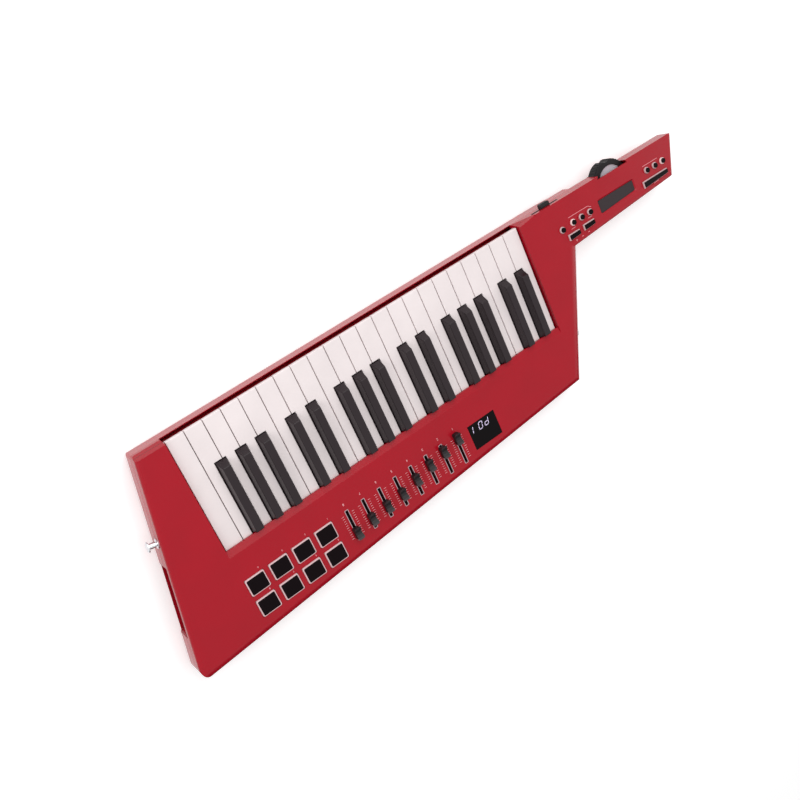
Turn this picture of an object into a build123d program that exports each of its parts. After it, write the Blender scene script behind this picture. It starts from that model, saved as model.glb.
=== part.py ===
from build123d import *
import os
from math import radians, tan

# A keytar lying on its back. X runs along the keys from bass to treble, Y points away from
# the player and Z up. Sizes are in millimetres. The model is laid out from one corner: X is 0
# at the bass end of the keyboard, Y is 0 where the white keys go under the panel and Z is 0 at
# the white key tops. The finished pieces are then moved so that the origin lies under the
# middle of the instrument.

# Keyboard
OCTAVE = 165.0
OCTAVES = 3
KEY_GAP = 1.0
KEY_WALL = 1.8
WHITE_LENGTH = 141.5
WHITE_DEPTH = 16.0
WHITE_SHALLOW = 12.0
LIP_DEPTH = 6.0
LIP_OVERHANG = 3.0
BLACK_LENGTH = 91.0
BLACK_BASE = 13.4
BLACK_TOP = 9.8
BLACK_RISE = 11.5
BLACK_SLOPE = 6.5
KEY_EDGE = 0.8
BLACK_EDGE = 1.3
# How far the black keys lie from the line between their white neighbours
BLACK_SHIFTS = {"c_sharp": -2.5, "d_sharp": 2.5, "f_sharp": -3.3, "g_sharp": 0.0, "a_sharp": 3.3}

# Key action
PIVOT_Y = 28.0
PIVOT_Z = -6.0
ROD_RADIUS = 2.0
ROD_CLEARANCE = 0.05
LEVER_WIDTH = 8.0
LEVER_ROUND = 5.0
KEY_TAIL = 5.0
BLACK_TAIL = 1.0
GUIDE_CLEARANCE = 0.35
GUIDE_THICK = 3.0
WHITE_GUIDE_Y = -125.0
BLACK_GUIDE_Y = -80.0
WHITE_GUIDE_TOP = -12.5
BLACK_GUIDE_TOP = -9.0
BED_TOP = -27.5
BED_THICK = 2.5
BED_RIB = 2.5
BED_RIBS = 4
SADDLE = 2.4
SADDLE_LENGTH = 12.0

# Casing
WALL = 2.5
PANEL_RISE = 6.0
SPLIT_Z = -14.0
BODY_UNDER = -40.0
NECK_UNDER = -28.0
FRONT_MARGIN = 3.5
TREBLE_BLOCK = 37.4
TREBLE_RAKE = 12.2
BASS_BLOCK = 9.0
BASS_RAKE = 23.6
REAR_AT_TREBLE = 121.5
REAR_AT_BASS = 86.5
FRONT_ROLL = 4.0
TREBLE_ROLL = 5.0
REAR_ROLL = 12.0
BASS_ROLL = 16.0
NECK_ROLL = 5.0
UNDER_ROLL = 14.0
FRONT_UNDER_ROLL = 8.0
REAR_CORNER = 15.0
BASS_CORNER = 8.0
FRONT_CORNER = 4.0
END_GAP = 1.5
REAR_GAP = 2.5
STRIP_WIDTH = 8.0
STRIP_DROP = 2.2
EDGE_BAR = 12.0
BAR_CLEARANCE = 0.8
FACET_RUN = 28.0
FACET_DROP = 14.0
RAIL_TOP = 0.5
RAIL_BEVEL = 5.5

# Neck, measured from the front wall where that is the seat
NECK_REACH = 289.6
NECK_END_RAKE = 20.2
NECK_WIDTH = 70.2
NECK_TAPER = 3.14
NECK_INSIDE = 30.0
NECK_TIP_CORNER = 9.0
RAMP_START = -22.0
RAMP_END = -85.0
NECK_SEAM = -82.0
SEAM_GAP = 0.1

# Thumb wheel in the neck's front edge
WHEEL_X = -171.0
WHEEL_RADIUS = 31.0
WHEEL_PROUD = 12.0
WHEEL_TOP = -0.4
WHEEL_THICK = 16.0
WHEEL_RIBS = 44
WHEEL_RIB_DEPTH = 0.7
WHEEL_NOTCH = 9.0
WHEEL_NOTCH_DEPTH = 2.6
WHEEL_POST = 4.0
POST_SHORT = 1.0
WHEEL_SEAT_GAP = 0.2
WHEEL_SLOT_GAP = 1.2

# Slider in the neck's front wall
SLIDER_X = -53.0
SLIDER_SLOT = 44.0
SLIDER_CAP = 15.0
SLIDER_CAP_HIGH = 6.4
SLIDER_PROUD = 6.0
SLIDER_Z = -1.8
SLIDER_STEM = 2.2

# Panel controls
PAD_COLUMNS = 4
PAD_ROWS = 2
PAD_WIDTH = 25.6
PAD_HEIGHT = 22.0
PAD_BORDER = 1.4
PAD_PITCH_X = 32.5
PAD_PITCH_Y = 29.0
PAD_FIRST_X = 12.6
PAD_FIRST_Y = 54.5
PAD_PROUD = 1.6
PAD_TOP_PROUD = 2.2
PAD_SHEET = 2.0
PAD_MARGIN = 4.0
PAD_EDGE = 0.6
PAD_CORNER = 2.0
PANEL_CLEARANCE = 0.4
FADER_COUNT = 8
FADER_PITCH = 24.5
FADER_FIRST_X = 145.2
FADER_SLOT_START = 44.5
FADER_SLOT_LENGTH = 39.5
FADER_SLOT_WIDTH = 2.6
FADER_PLACES = [30.5, 26.6, 24.7, 23.0, 17.8, 12.4, 8.5, 4.2]
FADER_CAP_LENGTH = 15.5
FADER_CAP_WIDTH = 9.5
FADER_CAP_WAIST = 8.0
FADER_CAP_CORNER = 2.2
FADER_CAP_HIGH = 8.0
FADER_LIFT = 0.3
POT_WIDTH = 9.0
POT_HIGH = 7.4
FADER_STEM = 1.2
STEM_LONG = 5.0
STEM_GAP = 0.3
STEM_END_Z = -2.0
PCB_TOP = -6.4
PCB_FRONT = 40.0
PCB_REAR = 88.0
PCB_MARGIN = 32.0
PILLAR = 2.5
DISPLAY_X = 358.6
DISPLAY_Y = 62.3
DISPLAY_WIDTH = 44.0
DISPLAY_HEIGHT = 33.5
DISPLAY_THICK = 1.6
DISPLAY_LEDGE = 3.0
WINDOW_GAP = 0.2
ROUND_BUTTON = 3.4
BUTTON_BORDER = 0.9
BUTTON_PROUD = 2.0
BUTTON_TOP_PROUD = 4.0
BUTTON_PITCH = 15.6
ROOT_GROUP_X = -97.0
TIP_GROUP_X = -242.2
LONE_BUTTON_X = -61.2
LONE_BUTTON_IN = 37.2
ROOT_GROUP_IN = 35.6
TIP_GROUP_IN = 28.4
RECT_BUTTONS = {-76.6: 48.3, -104.4: 46.8}
RECT_LENGTH = 18.0
RECT_WIDTH = 5.6
BAR_X = -236.8
BAR_LENGTH = 45.5
BAR_IN = 41.0
BAR_WIDE = 6.2
BAR_FLANGE = 0.6
BAR_LIP = 1.2
FLANGE_GAP = 0.1
BUTTON_EDGE = 0.4
KEYPAD_SHEET = 1.5
BOARD_THICK = 1.6
RIBBON_X = -165.0
RIBBON_LENGTH = 66.5
RIBBON_IN = 29.3
RIBBON_WIDE = 16.3
RIBBON_THICK = 1.2
RIBBON_BEVEL = 1.8
RIBBON_CORNER = 2.0
RIBBON_GAP = 0.3
RIBBON_TRAY = 1.2

# Connector recess in the treble end
POCKET_IN = 16.0
POCKET_START = -18.0
POCKET_END = 66.0
POCKET_TOP = -3.5
POCKET_UNDER = -34.0
SOCKET_Z = -23.5
SOCKET_DEPTH = 22.0
JACK_RADIUS = 3.25
JACK_Y = 50.0
JACK_NUT = 5.6
MIDI_RADIUS = 7.5
MIDI_Y = 26.0
MIDI_BODY = 17.0
USB_Y = 0.0
USB_WIDE = 12.0
USB_HIGH = 11.0
USB_SHELL = 1.0
SOCKET_PROUD = 0.6
SOCKET_GAP = 0.3
JACK_LENGTH = 20.0
MIDI_DEPTH = 9.0

# Strap pegs
PEG_RADIUS = 3.5
PEG_HEAD = 6.5
PEG_LENGTH = 13.0
PEG_SHANK = 1.75
PEG_SCREW_IN = 11.0
PEG_Y = -47.0
PEG_Z = -7.5
BASS_PEG_Y = 30.0
BASS_PEG_Z = -23.0
PEG_CLEARANCE = 0.1

# Fixings
BOSS_RADIUS = 5.0
SCREW_RADIUS = 1.5
SCREW_HEAD = 3.0
SCREW_HEAD_THICK = 2.4
SCREW_LENGTH = 12.0
SCREW_SEAT_Z = -20.0
SCREW_CLEARANCE = 0.1
PILOT_CLEARANCE = 0.02

# Battery bay
BAY_FROM_END = 60.6
BAY_Y = 66.0
BAY_LENGTH = 60.0
BAY_WIDTH = 54.0
BAY_DEPTH = 17.0
DOOR_LEDGE = 3.0
DOOR_THICK = 2.0
DOOR_GAP = 0.3
DOOR_SET_IN = 0.2

NOTES = ["c", "d", "e", "f", "g", "a", "b"]
PITCH = OCTAVE / len(NOTES)
WHITE_COUNT = OCTAVES * len(NOTES) + 1
BOARD_END = WHITE_COUNT * PITCH
FRONT_Y = -WHITE_LENGTH - FRONT_MARGIN
PANEL_UNDER = PANEL_RISE - WALL
PANEL_EDGE_Y = FRONT_Y + FRONT_ROLL
FIRST_OCTAVE = 3


def slab(x0, x1, y0, y1, z0, z1):
    """A box between two opposite corners."""
    middle = ((x0 + x1) / 2, (y0 + y1) / 2, (z0 + z1) / 2)
    return Pos(*middle) * Box(x1 - x0, y1 - y0, z1 - z0)


def rod(x, y, z0, z1, radius):
    """An upright cylinder between two heights."""
    return Pos(x, y, (z0 + z1) / 2) * Cylinder(radius, z1 - z0)


def prism(points, z0, z1):
    """An outline of straight sides raised between two heights."""
    return extrude(Pos(0, 0, z0) * make_face(Polyline(*points, close=True)), z1 - z0)


# Casing: two rolled blocks, the body and the neck, hollowed and split at one level

def shrink(corners, inset):
    """Moves the corners of an outline in from every side by the same distance."""
    moved = []
    for i, corner in enumerate(corners):
        here = Vector(*corner)
        into = (here - Vector(*corners[i - 1])).normalized()
        out = (Vector(*corners[(i + 1) % len(corners)]) - here).normalized()
        in_a = Vector(-into.Y, into.X)
        in_b = Vector(-out.Y, out.X)
        moved.append(here + (in_a + in_b) * (inset / (1 + in_a.dot(in_b))))
    return moved


def roll_waste(start, end, radius, level, up):
    """What is taken off a sharp edge from start to end to leave a quarter round."""
    spare = 60.0
    over = 1.0
    along = (end - start).normalized()
    inward = Vector(-along.Y, along.X)
    plane = Plane(origin=start - along * spare + Vector(0, 0, level), x_dir=inward, z_dir=along)
    side = radius + over
    corner = Pos((radius - over) / 2, -up * (radius - over) / 2) * Rectangle(side, side)
    quarter = Pos(radius, -up * radius) * Circle(radius)
    return extrude(plane * (corner - quarter), (end - start).length + 2 * spare)


def rolled_block(corners, tops, unders, rounds, z_under, inset):
    """A block with its own radius on each upper, lower and upright edge."""
    points = shrink(corners, inset)
    face = make_face(Polyline(*[(p.X, p.Y) for p in points], close=True))
    for point, radius in zip(points, rounds):
        if radius > inset:
            corner = min(face.vertices(), key=lambda v: (Vector(v) - point).length)
            face = fillet(corner, radius - inset)
    z_low = z_under + inset
    z_high = PANEL_RISE - inset
    block = extrude(Pos(0, 0, z_low) * face, z_high - z_low)
    for level, up, radii in ((z_high, 1, tops), (z_low, -1, unders)):
        for i, radius in enumerate(radii):
            if radius > inset:
                end = points[(i + 1) % len(points)]
                block -= roll_waste(points[i], end, radius - inset, level, up)
    return block


TREBLE_FRONT = (BOARD_END + TREBLE_BLOCK, FRONT_Y)
TREBLE_LEAN = tan(radians(TREBLE_RAKE))
BASS_LEAN = tan(radians(BASS_RAKE))
TREBLE_REAR = (TREBLE_FRONT[0] + TREBLE_LEAN * (REAR_AT_TREBLE - FRONT_Y), REAR_AT_TREBLE)
BASS_REAR = (-BASS_BLOCK, REAR_AT_BASS)
BASS_FRONT = (-BASS_BLOCK - BASS_LEAN * (REAR_AT_BASS - FRONT_Y), FRONT_Y)
NECK_SLOPE = tan(radians(NECK_TAPER))
NECK_END_LEAN = tan(radians(NECK_END_RAKE))


def treble_wall(y):
    """X of the treble wall's outside."""
    return TREBLE_FRONT[0] + TREBLE_LEAN * (y - FRONT_Y)


def bass_wall(y):
    """X of the body's bass wall's outside."""
    return -BASS_BLOCK - BASS_LEAN * (REAR_AT_BASS - y)


def neck_rear(x):
    """Y of the neck's rear wall's outside."""
    return FRONT_Y + NECK_WIDTH + NECK_SLOPE * x


def neck_corners():
    """The neck's outline, from the tip's front corner round to its rear one."""
    rear_low = neck_rear(-NECK_REACH)
    tip_rear_x = -NECK_REACH + NECK_END_LEAN * (rear_low - FRONT_Y)
    inside = (-NECK_INSIDE, FRONT_Y), (-NECK_INSIDE, neck_rear(-NECK_INSIDE))
    return [(-NECK_REACH, FRONT_Y), *inside, (tip_rear_x, neck_rear(tip_rear_x))]


def casing(inset):
    """Body and neck as one solid, with the step between them ramped underneath."""
    body = rolled_block(
        [BASS_FRONT, TREBLE_FRONT, TREBLE_REAR, BASS_REAR],
        [FRONT_ROLL, TREBLE_ROLL, REAR_ROLL, BASS_ROLL],
        [FRONT_UNDER_ROLL, UNDER_ROLL, UNDER_ROLL, UNDER_ROLL],
        [0, FRONT_CORNER, REAR_CORNER, BASS_CORNER],
        BODY_UNDER,
        inset,
    )
    low = BODY_UNDER + inset
    high = NECK_UNDER + inset
    far = BASS_FRONT[0] - 10
    ramp = [(RAMP_START, low - 1), (RAMP_START, low), (RAMP_END, high), (far, high), (far, low - 1)]
    body -= extrude(Plane.XZ * make_face(Polyline(*ramp, close=True)), 400, both=True)
    neck = rolled_block(
        neck_corners(),
        [FRONT_ROLL, 0, NECK_ROLL, NECK_ROLL],
        [UNDER_ROLL, 0, UNDER_ROLL, UNDER_ROLL],
        [FRONT_CORNER, 0, 0, NECK_TIP_CORNER],
        NECK_UNDER,
        inset,
    )
    return body + neck


CUT_START = -END_GAP
CUT_END = BOARD_END + END_GAP
outer = casing(0)
shell = outer - casing(WALL)
above = slab(-999, 999, -999, 999, SPLIT_Z, 99)
below = slab(-999, 999, -999, 999, -99, SPLIT_Z)
pocket_x = treble_wall(POCKET_START) - POCKET_IN
pocket = slab(pocket_x, 999, POCKET_START, POCKET_END, POCKET_UNDER, POCKET_TOP)
pocket_walls = slab(
    pocket_x - WALL, 999, POCKET_START - WALL, POCKET_END + WALL, POCKET_UNDER - WALL, POCKET_TOP + WALL
) & outer

# Screw places: the neck's three, then round the body
WHEEL_Y = FRONT_Y - WHEEL_PROUD + WHEEL_RADIUS
SCREW_PLACES = [
    (-NECK_REACH + 17.5, FRONT_Y + 15),
    (WHEEL_X - 44, FRONT_Y + 14),
    (WHEEL_X + 61, FRONT_Y + 14),
    (CUT_START - 13, -60),
    (-6, 58),
    (110, 78),
    (BOARD_END - 258.6, 94),
    (BOARD_END - 133.6, 98),
    (BOARD_END + 11.4, 104),
    (BOARD_END + 16.4, 10),
    (BOARD_END + 19.4, -122),
    (BOARD_END + 70, 98),
]
top_bosses = [rod(x, y, SPLIT_Z, PANEL_UNDER, BOSS_RADIUS) for x, y in SCREW_PLACES]
top_pilots = [
    rod(x, y, SPLIT_Z, SCREW_SEAT_Z + SCREW_LENGTH + 1, SCREW_RADIUS + PILOT_CLEARANCE)
    for x, y in SCREW_PLACES
]
screws = [
    rod(x, y, SCREW_SEAT_Z - SCREW_HEAD_THICK, SCREW_SEAT_Z, SCREW_HEAD)
    + rod(x, y, SCREW_SEAT_Z, SCREW_SEAT_Z + SCREW_LENGTH, SCREW_RADIUS)
    for x, y in SCREW_PLACES
]


def quad(middle, length, y_front, width):
    """A control's outline on the neck: straight in front, parallel to the neck's rear wall behind."""
    left, right = middle - length / 2, middle + length / 2
    y_rear = y_front + width
    rise = NECK_SLOPE * length / 2
    return [(left, y_front), (right, y_front), (right, y_rear + rise), (left, y_rear - rise)]


def grown(points, by):
    """An outline moved out on every side."""
    return [(p.X, p.Y) for p in shrink(points, -by)]


def pad_places():
    """Middles of the drum pads."""
    for row in range(PAD_ROWS):
        for column in range(PAD_COLUMNS):
            yield BOARD_END - PAD_FIRST_X - column * PAD_PITCH_X, PAD_FIRST_Y + row * PAD_PITCH_Y


def fader_x(number):
    """X of a fader, counted from the treble end."""
    return BOARD_END - FADER_FIRST_X - number * FADER_PITCH


display_x = BOARD_END - DISPLAY_X
PCB_PILLARS = [
    (x, y)
    for x in (display_x - PCB_MARGIN + 4, fader_x(6.5), fader_x(2.5), fader_x(0) + 12)
    for y in (PCB_FRONT + 6, PCB_REAR - 6)
]
round_buttons = [(LONE_BUTTON_X, FRONT_Y + LONE_BUTTON_IN)]
round_buttons += [(ROOT_GROUP_X + i * BUTTON_PITCH, FRONT_Y + ROOT_GROUP_IN) for i in (-1, 0, 1)]
tip_buttons = [(TIP_GROUP_X + i * BUTTON_PITCH, FRONT_Y + TIP_GROUP_IN) for i in (-1, 0, 1)]
rect_buttons = [quad(x, RECT_LENGTH, FRONT_Y + inside, RECT_WIDTH) for x, inside in RECT_BUTTONS.items()]
bar_outline = quad(BAR_X, BAR_LENGTH, FRONT_Y + BAR_IN, BAR_WIDE)
ribbon_outline = quad(RIBBON_X, RIBBON_LENGTH, FRONT_Y + RIBBON_IN, RIBBON_WIDE)


def top_cover():
    """The upper casing: panel and side walls, moulded in one."""
    cover = shell & above
    # Walls that drop from the panel round the keys, and the bar behind them
    skirt_end = REAR_GAP + EDGE_BAR
    for x in (CUT_START - WALL, CUT_END):
        cover += slab(x, x + WALL, FRONT_Y + WALL / 2, skirt_end, SPLIT_Z, PANEL_UNDER)
    cover += slab(CUT_START - WALL, CUT_END + WALL, REAR_GAP, skirt_end, BAR_CLEARANCE, PANEL_UNDER)
    # Thicker corners behind the facets at both ends of the front
    thick = FRONT_Y + WALL / 2, FRONT_Y + FRONT_ROLL + WALL
    cover += slab(CUT_START - FACET_RUN / 2, CUT_START, *thick, SPLIT_Z, PANEL_UNDER)
    cover += slab(CUT_END, TREBLE_FRONT[0] - WALL, *thick, SPLIT_Z, PANEL_UNDER)
    cover += pocket_walls & above
    for boss in top_bosses:
        cover += boss & outer
    for x, y in PCB_PILLARS:
        cover += rod(x, y, PCB_TOP, PANEL_UNDER, PILLAR)
    # The tray under the ribbon strip
    cover += prism(grown(ribbon_outline, WALL), PANEL_UNDER - RIBBON_TRAY, PANEL_UNDER)
    cover -= slab(CUT_START, CUT_END, FRONT_Y - 9, REAR_GAP, SPLIT_Z - 1, PANEL_RISE + 1)
    # The sloped strip behind the keys
    strip = [(REAR_GAP - 1, PANEL_RISE + 1), (REAR_GAP - 1, PANEL_RISE - STRIP_DROP),
             (REAR_GAP, PANEL_RISE - STRIP_DROP), (REAR_GAP + STRIP_WIDTH, PANEL_RISE),
             (REAR_GAP + STRIP_WIDTH, PANEL_RISE + 1)]
    cover -= along_x(strip, CUT_START, CUT_END)
    # Facets: one fades into the neck's front edge, one runs the length of the treble block
    low = PANEL_RISE - FACET_DROP
    facet = [(FRONT_Y - 1, PANEL_RISE + 1), (FRONT_Y - 1, low), (FRONT_Y, low),
             (PANEL_EDGE_Y, PANEL_RISE), (PANEL_EDGE_Y, PANEL_RISE + 1)]
    cover -= along_x(facet, CUT_END, TREBLE_FRONT[0] + 20)
    cover -= fading_facet()
    for tool in top_pilots:
        cover -= tool
    cover -= pocket
    for x, y in pad_places():
        wide, high = PAD_WIDTH + 2 * PANEL_CLEARANCE, PAD_HEIGHT + 2 * PANEL_CLEARANCE
        cover -= slab(x - wide / 2, x + wide / 2, y - high / 2, y + high / 2, 0, PANEL_RISE + 1)
    for i in range(FADER_COUNT):
        half = FADER_SLOT_WIDTH / 2
        slot_end = FADER_SLOT_START + FADER_SLOT_LENGTH
        cover -= slab(fader_x(i) - half, fader_x(i) + half, FADER_SLOT_START, slot_end, 0, PANEL_RISE + 1)
    window = DISPLAY_WIDTH / 2 + WINDOW_GAP, DISPLAY_HEIGHT / 2 + WINDOW_GAP
    ledge = DISPLAY_WIDTH / 2 - DISPLAY_LEDGE, DISPLAY_HEIGHT / 2 - DISPLAY_LEDGE
    for (half_x, half_y), z in ((window, PANEL_RISE - DISPLAY_THICK), (ledge, PANEL_UNDER - 1)):
        cover -= slab(display_x - half_x, display_x + half_x, DISPLAY_Y - half_y, DISPLAY_Y + half_y, z, 99)
    for x, y in round_buttons + tip_buttons:
        cover -= rod(x, y, 0, PANEL_RISE + 1, ROUND_BUTTON + BUTTON_BORDER + PANEL_CLEARANCE)
    for outline in rect_buttons + [bar_outline]:
        cover -= prism(grown(outline, BUTTON_BORDER + PANEL_CLEARANCE), 0, PANEL_RISE + 1)
    recess = make_face(Polyline(*ribbon_outline, close=True))
    recess = fillet(recess.vertices(), RIBBON_CORNER)
    cover -= extrude(Pos(0, 0, PANEL_UNDER) * recess, RIBBON_THICK + 0.1)
    bevel = PANEL_RISE - PANEL_UNDER - RIBBON_THICK
    cover -= loft([
        Pos(0, 0, PANEL_UNDER + RIBBON_THICK) * recess,
        Pos(0, 0, PANEL_RISE + 0.01) * offset(recess, RIBBON_BEVEL, kind=Kind.INTERSECTION),
    ], ruled=True)
    # Where the thumb wheel and the slider come out of the front wall
    reach = WHEEL_RADIUS + WHEEL_SLOT_GAP
    cover -= rod(WHEEL_X, WHEEL_Y, SPLIT_Z - 1, PANEL_UNDER, reach)
    cover -= rod(WHEEL_X, WHEEL_Y, 0, 99, reach) & slab(-999, 0, -999, PANEL_EDGE_Y, 0, 99)
    slot = SLIDER_STEM / 2 + STEM_GAP
    ends = SLIDER_X - SLIDER_SLOT / 2, SLIDER_X + SLIDER_SLOT / 2
    cover -= slab(*ends, FRONT_Y - 1, FRONT_Y + WALL + 1, SLIDER_Z - slot, SLIDER_Z + slot)
    cover -= rod_at(treble_peg, -PEG_SCREW_IN, 1, PEG_SHANK + PEG_CLEARANCE)
    return cover


def along_x(profile, x0, x1):
    """A profile in Y and Z, carried along X."""
    plane = Plane(origin=(x0, 0, 0), x_dir=(0, 1, 0), z_dir=(1, 0, 0))
    return extrude(plane * make_face(Polyline(*profile, close=True)), x1 - x0)


def fading_facet():
    """The three-cornered facet between the neck's front edge and the keys."""
    start = (CUT_START - FACET_RUN, FRONT_Y, PANEL_RISE - FRONT_ROLL)
    inner = (CUT_START, PANEL_EDGE_Y, PANEL_RISE)
    low = (CUT_START, FRONT_Y, SPLIT_Z + 2)
    normal = (Vector(*inner) - Vector(*start)).cross(Vector(*low) - Vector(*start)).normalized()
    if normal.Z < 0:
        normal = -normal
    half_space = Plane(origin=start, z_dir=normal)
    waste = extrude(half_space * Rectangle(400, 400), 30)
    return waste & slab(CUT_START - FACET_RUN, CUT_START, FRONT_Y - 9, PANEL_EDGE_Y, SPLIT_Z, 99)


def back_cover():
    """The lower casing: the body's tray, whose front rim is the rail below the keys, and the neck's."""
    cover = shell & below
    for x, y in SCREW_PLACES:
        cover += rod(x, y, BODY_UNDER, SPLIT_Z, BOSS_RADIUS) & outer
    cover += pocket_walls & below
    cover += rod_at(bass_peg, -PEG_SCREW_IN - 1, -WALL / 2, BOSS_RADIUS)
    for margin, z in ((DOOR_LEDGE + 1, BODY_UNDER + 2 * WALL), (WALL, BODY_UNDER + BAY_DEPTH + WALL)):
        cover += bay_block(margin, BODY_UNDER, z) & outer
    # Post and collar that carry the thumb wheel
    floor = NECK_UNDER + WALL / 2
    wheel_under = WHEEL_TOP - WHEEL_THICK
    cover += rod(WHEEL_X, WHEEL_Y, floor, WHEEL_TOP - POST_SHORT, WHEEL_POST)
    cover += rod(WHEEL_X, WHEEL_Y, floor, wheel_under - WHEEL_SEAT_GAP, 2 * WHEEL_POST)
    cover -= rod(WHEEL_X, WHEEL_Y, wheel_under - WHEEL_SLOT_GAP, 0, WHEEL_RADIUS + WHEEL_SLOT_GAP) - rod(
        WHEEL_X, WHEEL_Y, -99, 0, 2 * WHEEL_POST
    )
    # The rail's inner side slopes down towards the keys
    rail = [(FRONT_Y + RAIL_TOP, SPLIT_Z + 1), (FRONT_Y + RAIL_TOP, SPLIT_Z),
            (FRONT_Y + WALL + 1, SPLIT_Z - RAIL_BEVEL), (FRONT_Y + WALL + 1, SPLIT_Z + 1)]
    cover -= along_x(rail, CUT_START, CUT_END)
    for x, y in SCREW_PLACES:
        cover -= rod(x, y, BODY_UNDER - 1, SCREW_SEAT_Z, SCREW_HEAD + 4 * SCREW_CLEARANCE)
        cover -= rod(x, y, SCREW_SEAT_Z, SPLIT_Z, SCREW_RADIUS + SCREW_CLEARANCE)
    cover -= bay_block(0, BODY_UNDER - 1, BODY_UNDER + BAY_DEPTH)
    cover -= bay_block(DOOR_LEDGE, BODY_UNDER - 1, BODY_UNDER + DOOR_THICK + DOOR_GAP)
    cover -= pocket
    for tool in socket_fronts(SOCKET_GAP):
        cover -= tool
    cover -= rod_at(bass_peg, -PEG_SCREW_IN, 1, PEG_SHANK + PEG_CLEARANCE)
    return cover - slab(NECK_SEAM - SEAM_GAP, NECK_SEAM, -999, 999, -99, SPLIT_Z + 1)


def bay_block(margin, z0, z1):
    """The battery bay's plan with a margin all round, between two heights."""
    half_x, half_y = BAY_LENGTH / 2 + margin, BAY_WIDTH / 2 + margin
    x = BOARD_END - BAY_FROM_END
    return slab(x - half_x, x + half_x, BAY_Y - half_y, BAY_Y + half_y, z0, z1)


def battery_door():
    """The flush lid of the battery bay, with two finger grooves."""
    door = bay_block(DOOR_LEDGE - DOOR_GAP, BODY_UNDER + DOOR_SET_IN, BODY_UNDER + DOOR_THICK)
    for side in (-1, 1):
        x = BOARD_END - BAY_FROM_END + side * BAY_LENGTH / 4
        door -= slab(x - 1, x + 1, BAY_Y - 9, BAY_Y + 9, BODY_UNDER - 1, BODY_UNDER + DOOR_THICK / 2)
    return door


def socket_fronts(gap):
    """The parts of the sockets that stand in the recess's inner wall."""
    x0, x1 = pocket_x - WALL, pocket_x + SOCKET_PROUD
    yield lying_rod(x0, x1, JACK_Y, SOCKET_Z, JACK_NUT + gap)
    yield lying_rod(x0, x1, MIDI_Y, SOCKET_Z, MIDI_RADIUS + gap)
    half_y, half_z = USB_WIDE / 2 + gap, USB_HIGH / 2 + gap
    yield slab(x0, x1, USB_Y - half_y, USB_Y + half_y, SOCKET_Z - half_z, SOCKET_Z + half_z)


def lying_rod(x0, x1, y, z, radius):
    """A cylinder along X."""
    return Pos((x0 + x1) / 2, y, z) * Rot(0, 90, 0) * Cylinder(radius, x1 - x0)


def rod_at(plane, start, end, radius):
    """A cylinder along a plane's normal."""
    return plane * (Pos(0, 0, (start + end) / 2) * Cylinder(radius, end - start))


def strap_peg(plane):
    """A turned peg on its washer, with a domed head and a screw shank through the wall."""
    washer = PEG_HEAD - 0.5
    profile = [(0, -PEG_SCREW_IN + 0.5), (PEG_SHANK, -PEG_SCREW_IN + 0.5), (PEG_SHANK, 0),
               (washer, 0), (washer, 1.2), (PEG_RADIUS, 2.4), (PEG_RADIUS, PEG_LENGTH - 3.6),
               (PEG_HEAD, PEG_LENGTH - 2.4), (PEG_HEAD, PEG_LENGTH - 1.2),
               (PEG_HEAD - 1.6, PEG_LENGTH), (0, PEG_LENGTH)]
    half = make_face(Polyline(*profile, close=True))
    turned = revolve(Plane.XZ * half, Axis.Z)
    return plane * turned


def circuit_board():
    """Main board with slide pots, display module and pad board, and the neck's board."""
    under = PCB_TOP - BOARD_THICK
    board = slab(display_x - PCB_MARGIN, BOARD_END + 2.4, PCB_FRONT, PCB_REAR, under, PCB_TOP)
    slot_end = FADER_SLOT_START + FADER_SLOT_LENGTH
    for i in range(FADER_COUNT):
        x, half = fader_x(i), POT_WIDTH / 2
        board += slab(x - half, x + half, FADER_SLOT_START - 3, slot_end + 3, PCB_TOP, PCB_TOP + POT_HIGH)
        half = FADER_STEM / 2 + STEM_GAP
        board -= slab(x - half, x + half, FADER_SLOT_START, slot_end, PCB_TOP + 2, 9)
    half_x, half_y = DISPLAY_WIDTH / 2 - DISPLAY_LEDGE - 1, DISPLAY_HEIGHT / 2 - DISPLAY_LEDGE - 1
    sides = display_x - half_x, display_x + half_x, DISPLAY_Y - half_y, DISPLAY_Y + half_y
    board += slab(*sides, PCB_TOP, PANEL_RISE - DISPLAY_THICK - STEM_GAP)
    x0, x1, y0, y1 = pad_sheet()
    level = PANEL_UNDER - PAD_SHEET
    board += slab(x0, x1, y0, y1, level - BOARD_THICK, level)
    for x in (x0 + 5, x1 - 6):
        for y in (PCB_FRONT + 6, PCB_REAR - 4):
            board += rod(x, y, PCB_TOP, level - BOARD_THICK, PILLAR)
    return Part() + [board, neck_board()]


def pad_sheet():
    """The silicone sheet's edges under the panel."""
    half_x, half_y = PAD_WIDTH / 2 + PAD_MARGIN, PAD_HEIGHT / 2 + PAD_MARGIN
    last = BOARD_END - PAD_FIRST_X - (PAD_COLUMNS - 1) * PAD_PITCH_X
    top = PAD_FIRST_Y + (PAD_ROWS - 1) * PAD_PITCH_Y
    return last - half_x, BOARD_END - PAD_FIRST_X + half_x, PAD_FIRST_Y - half_y, top + half_y


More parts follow.
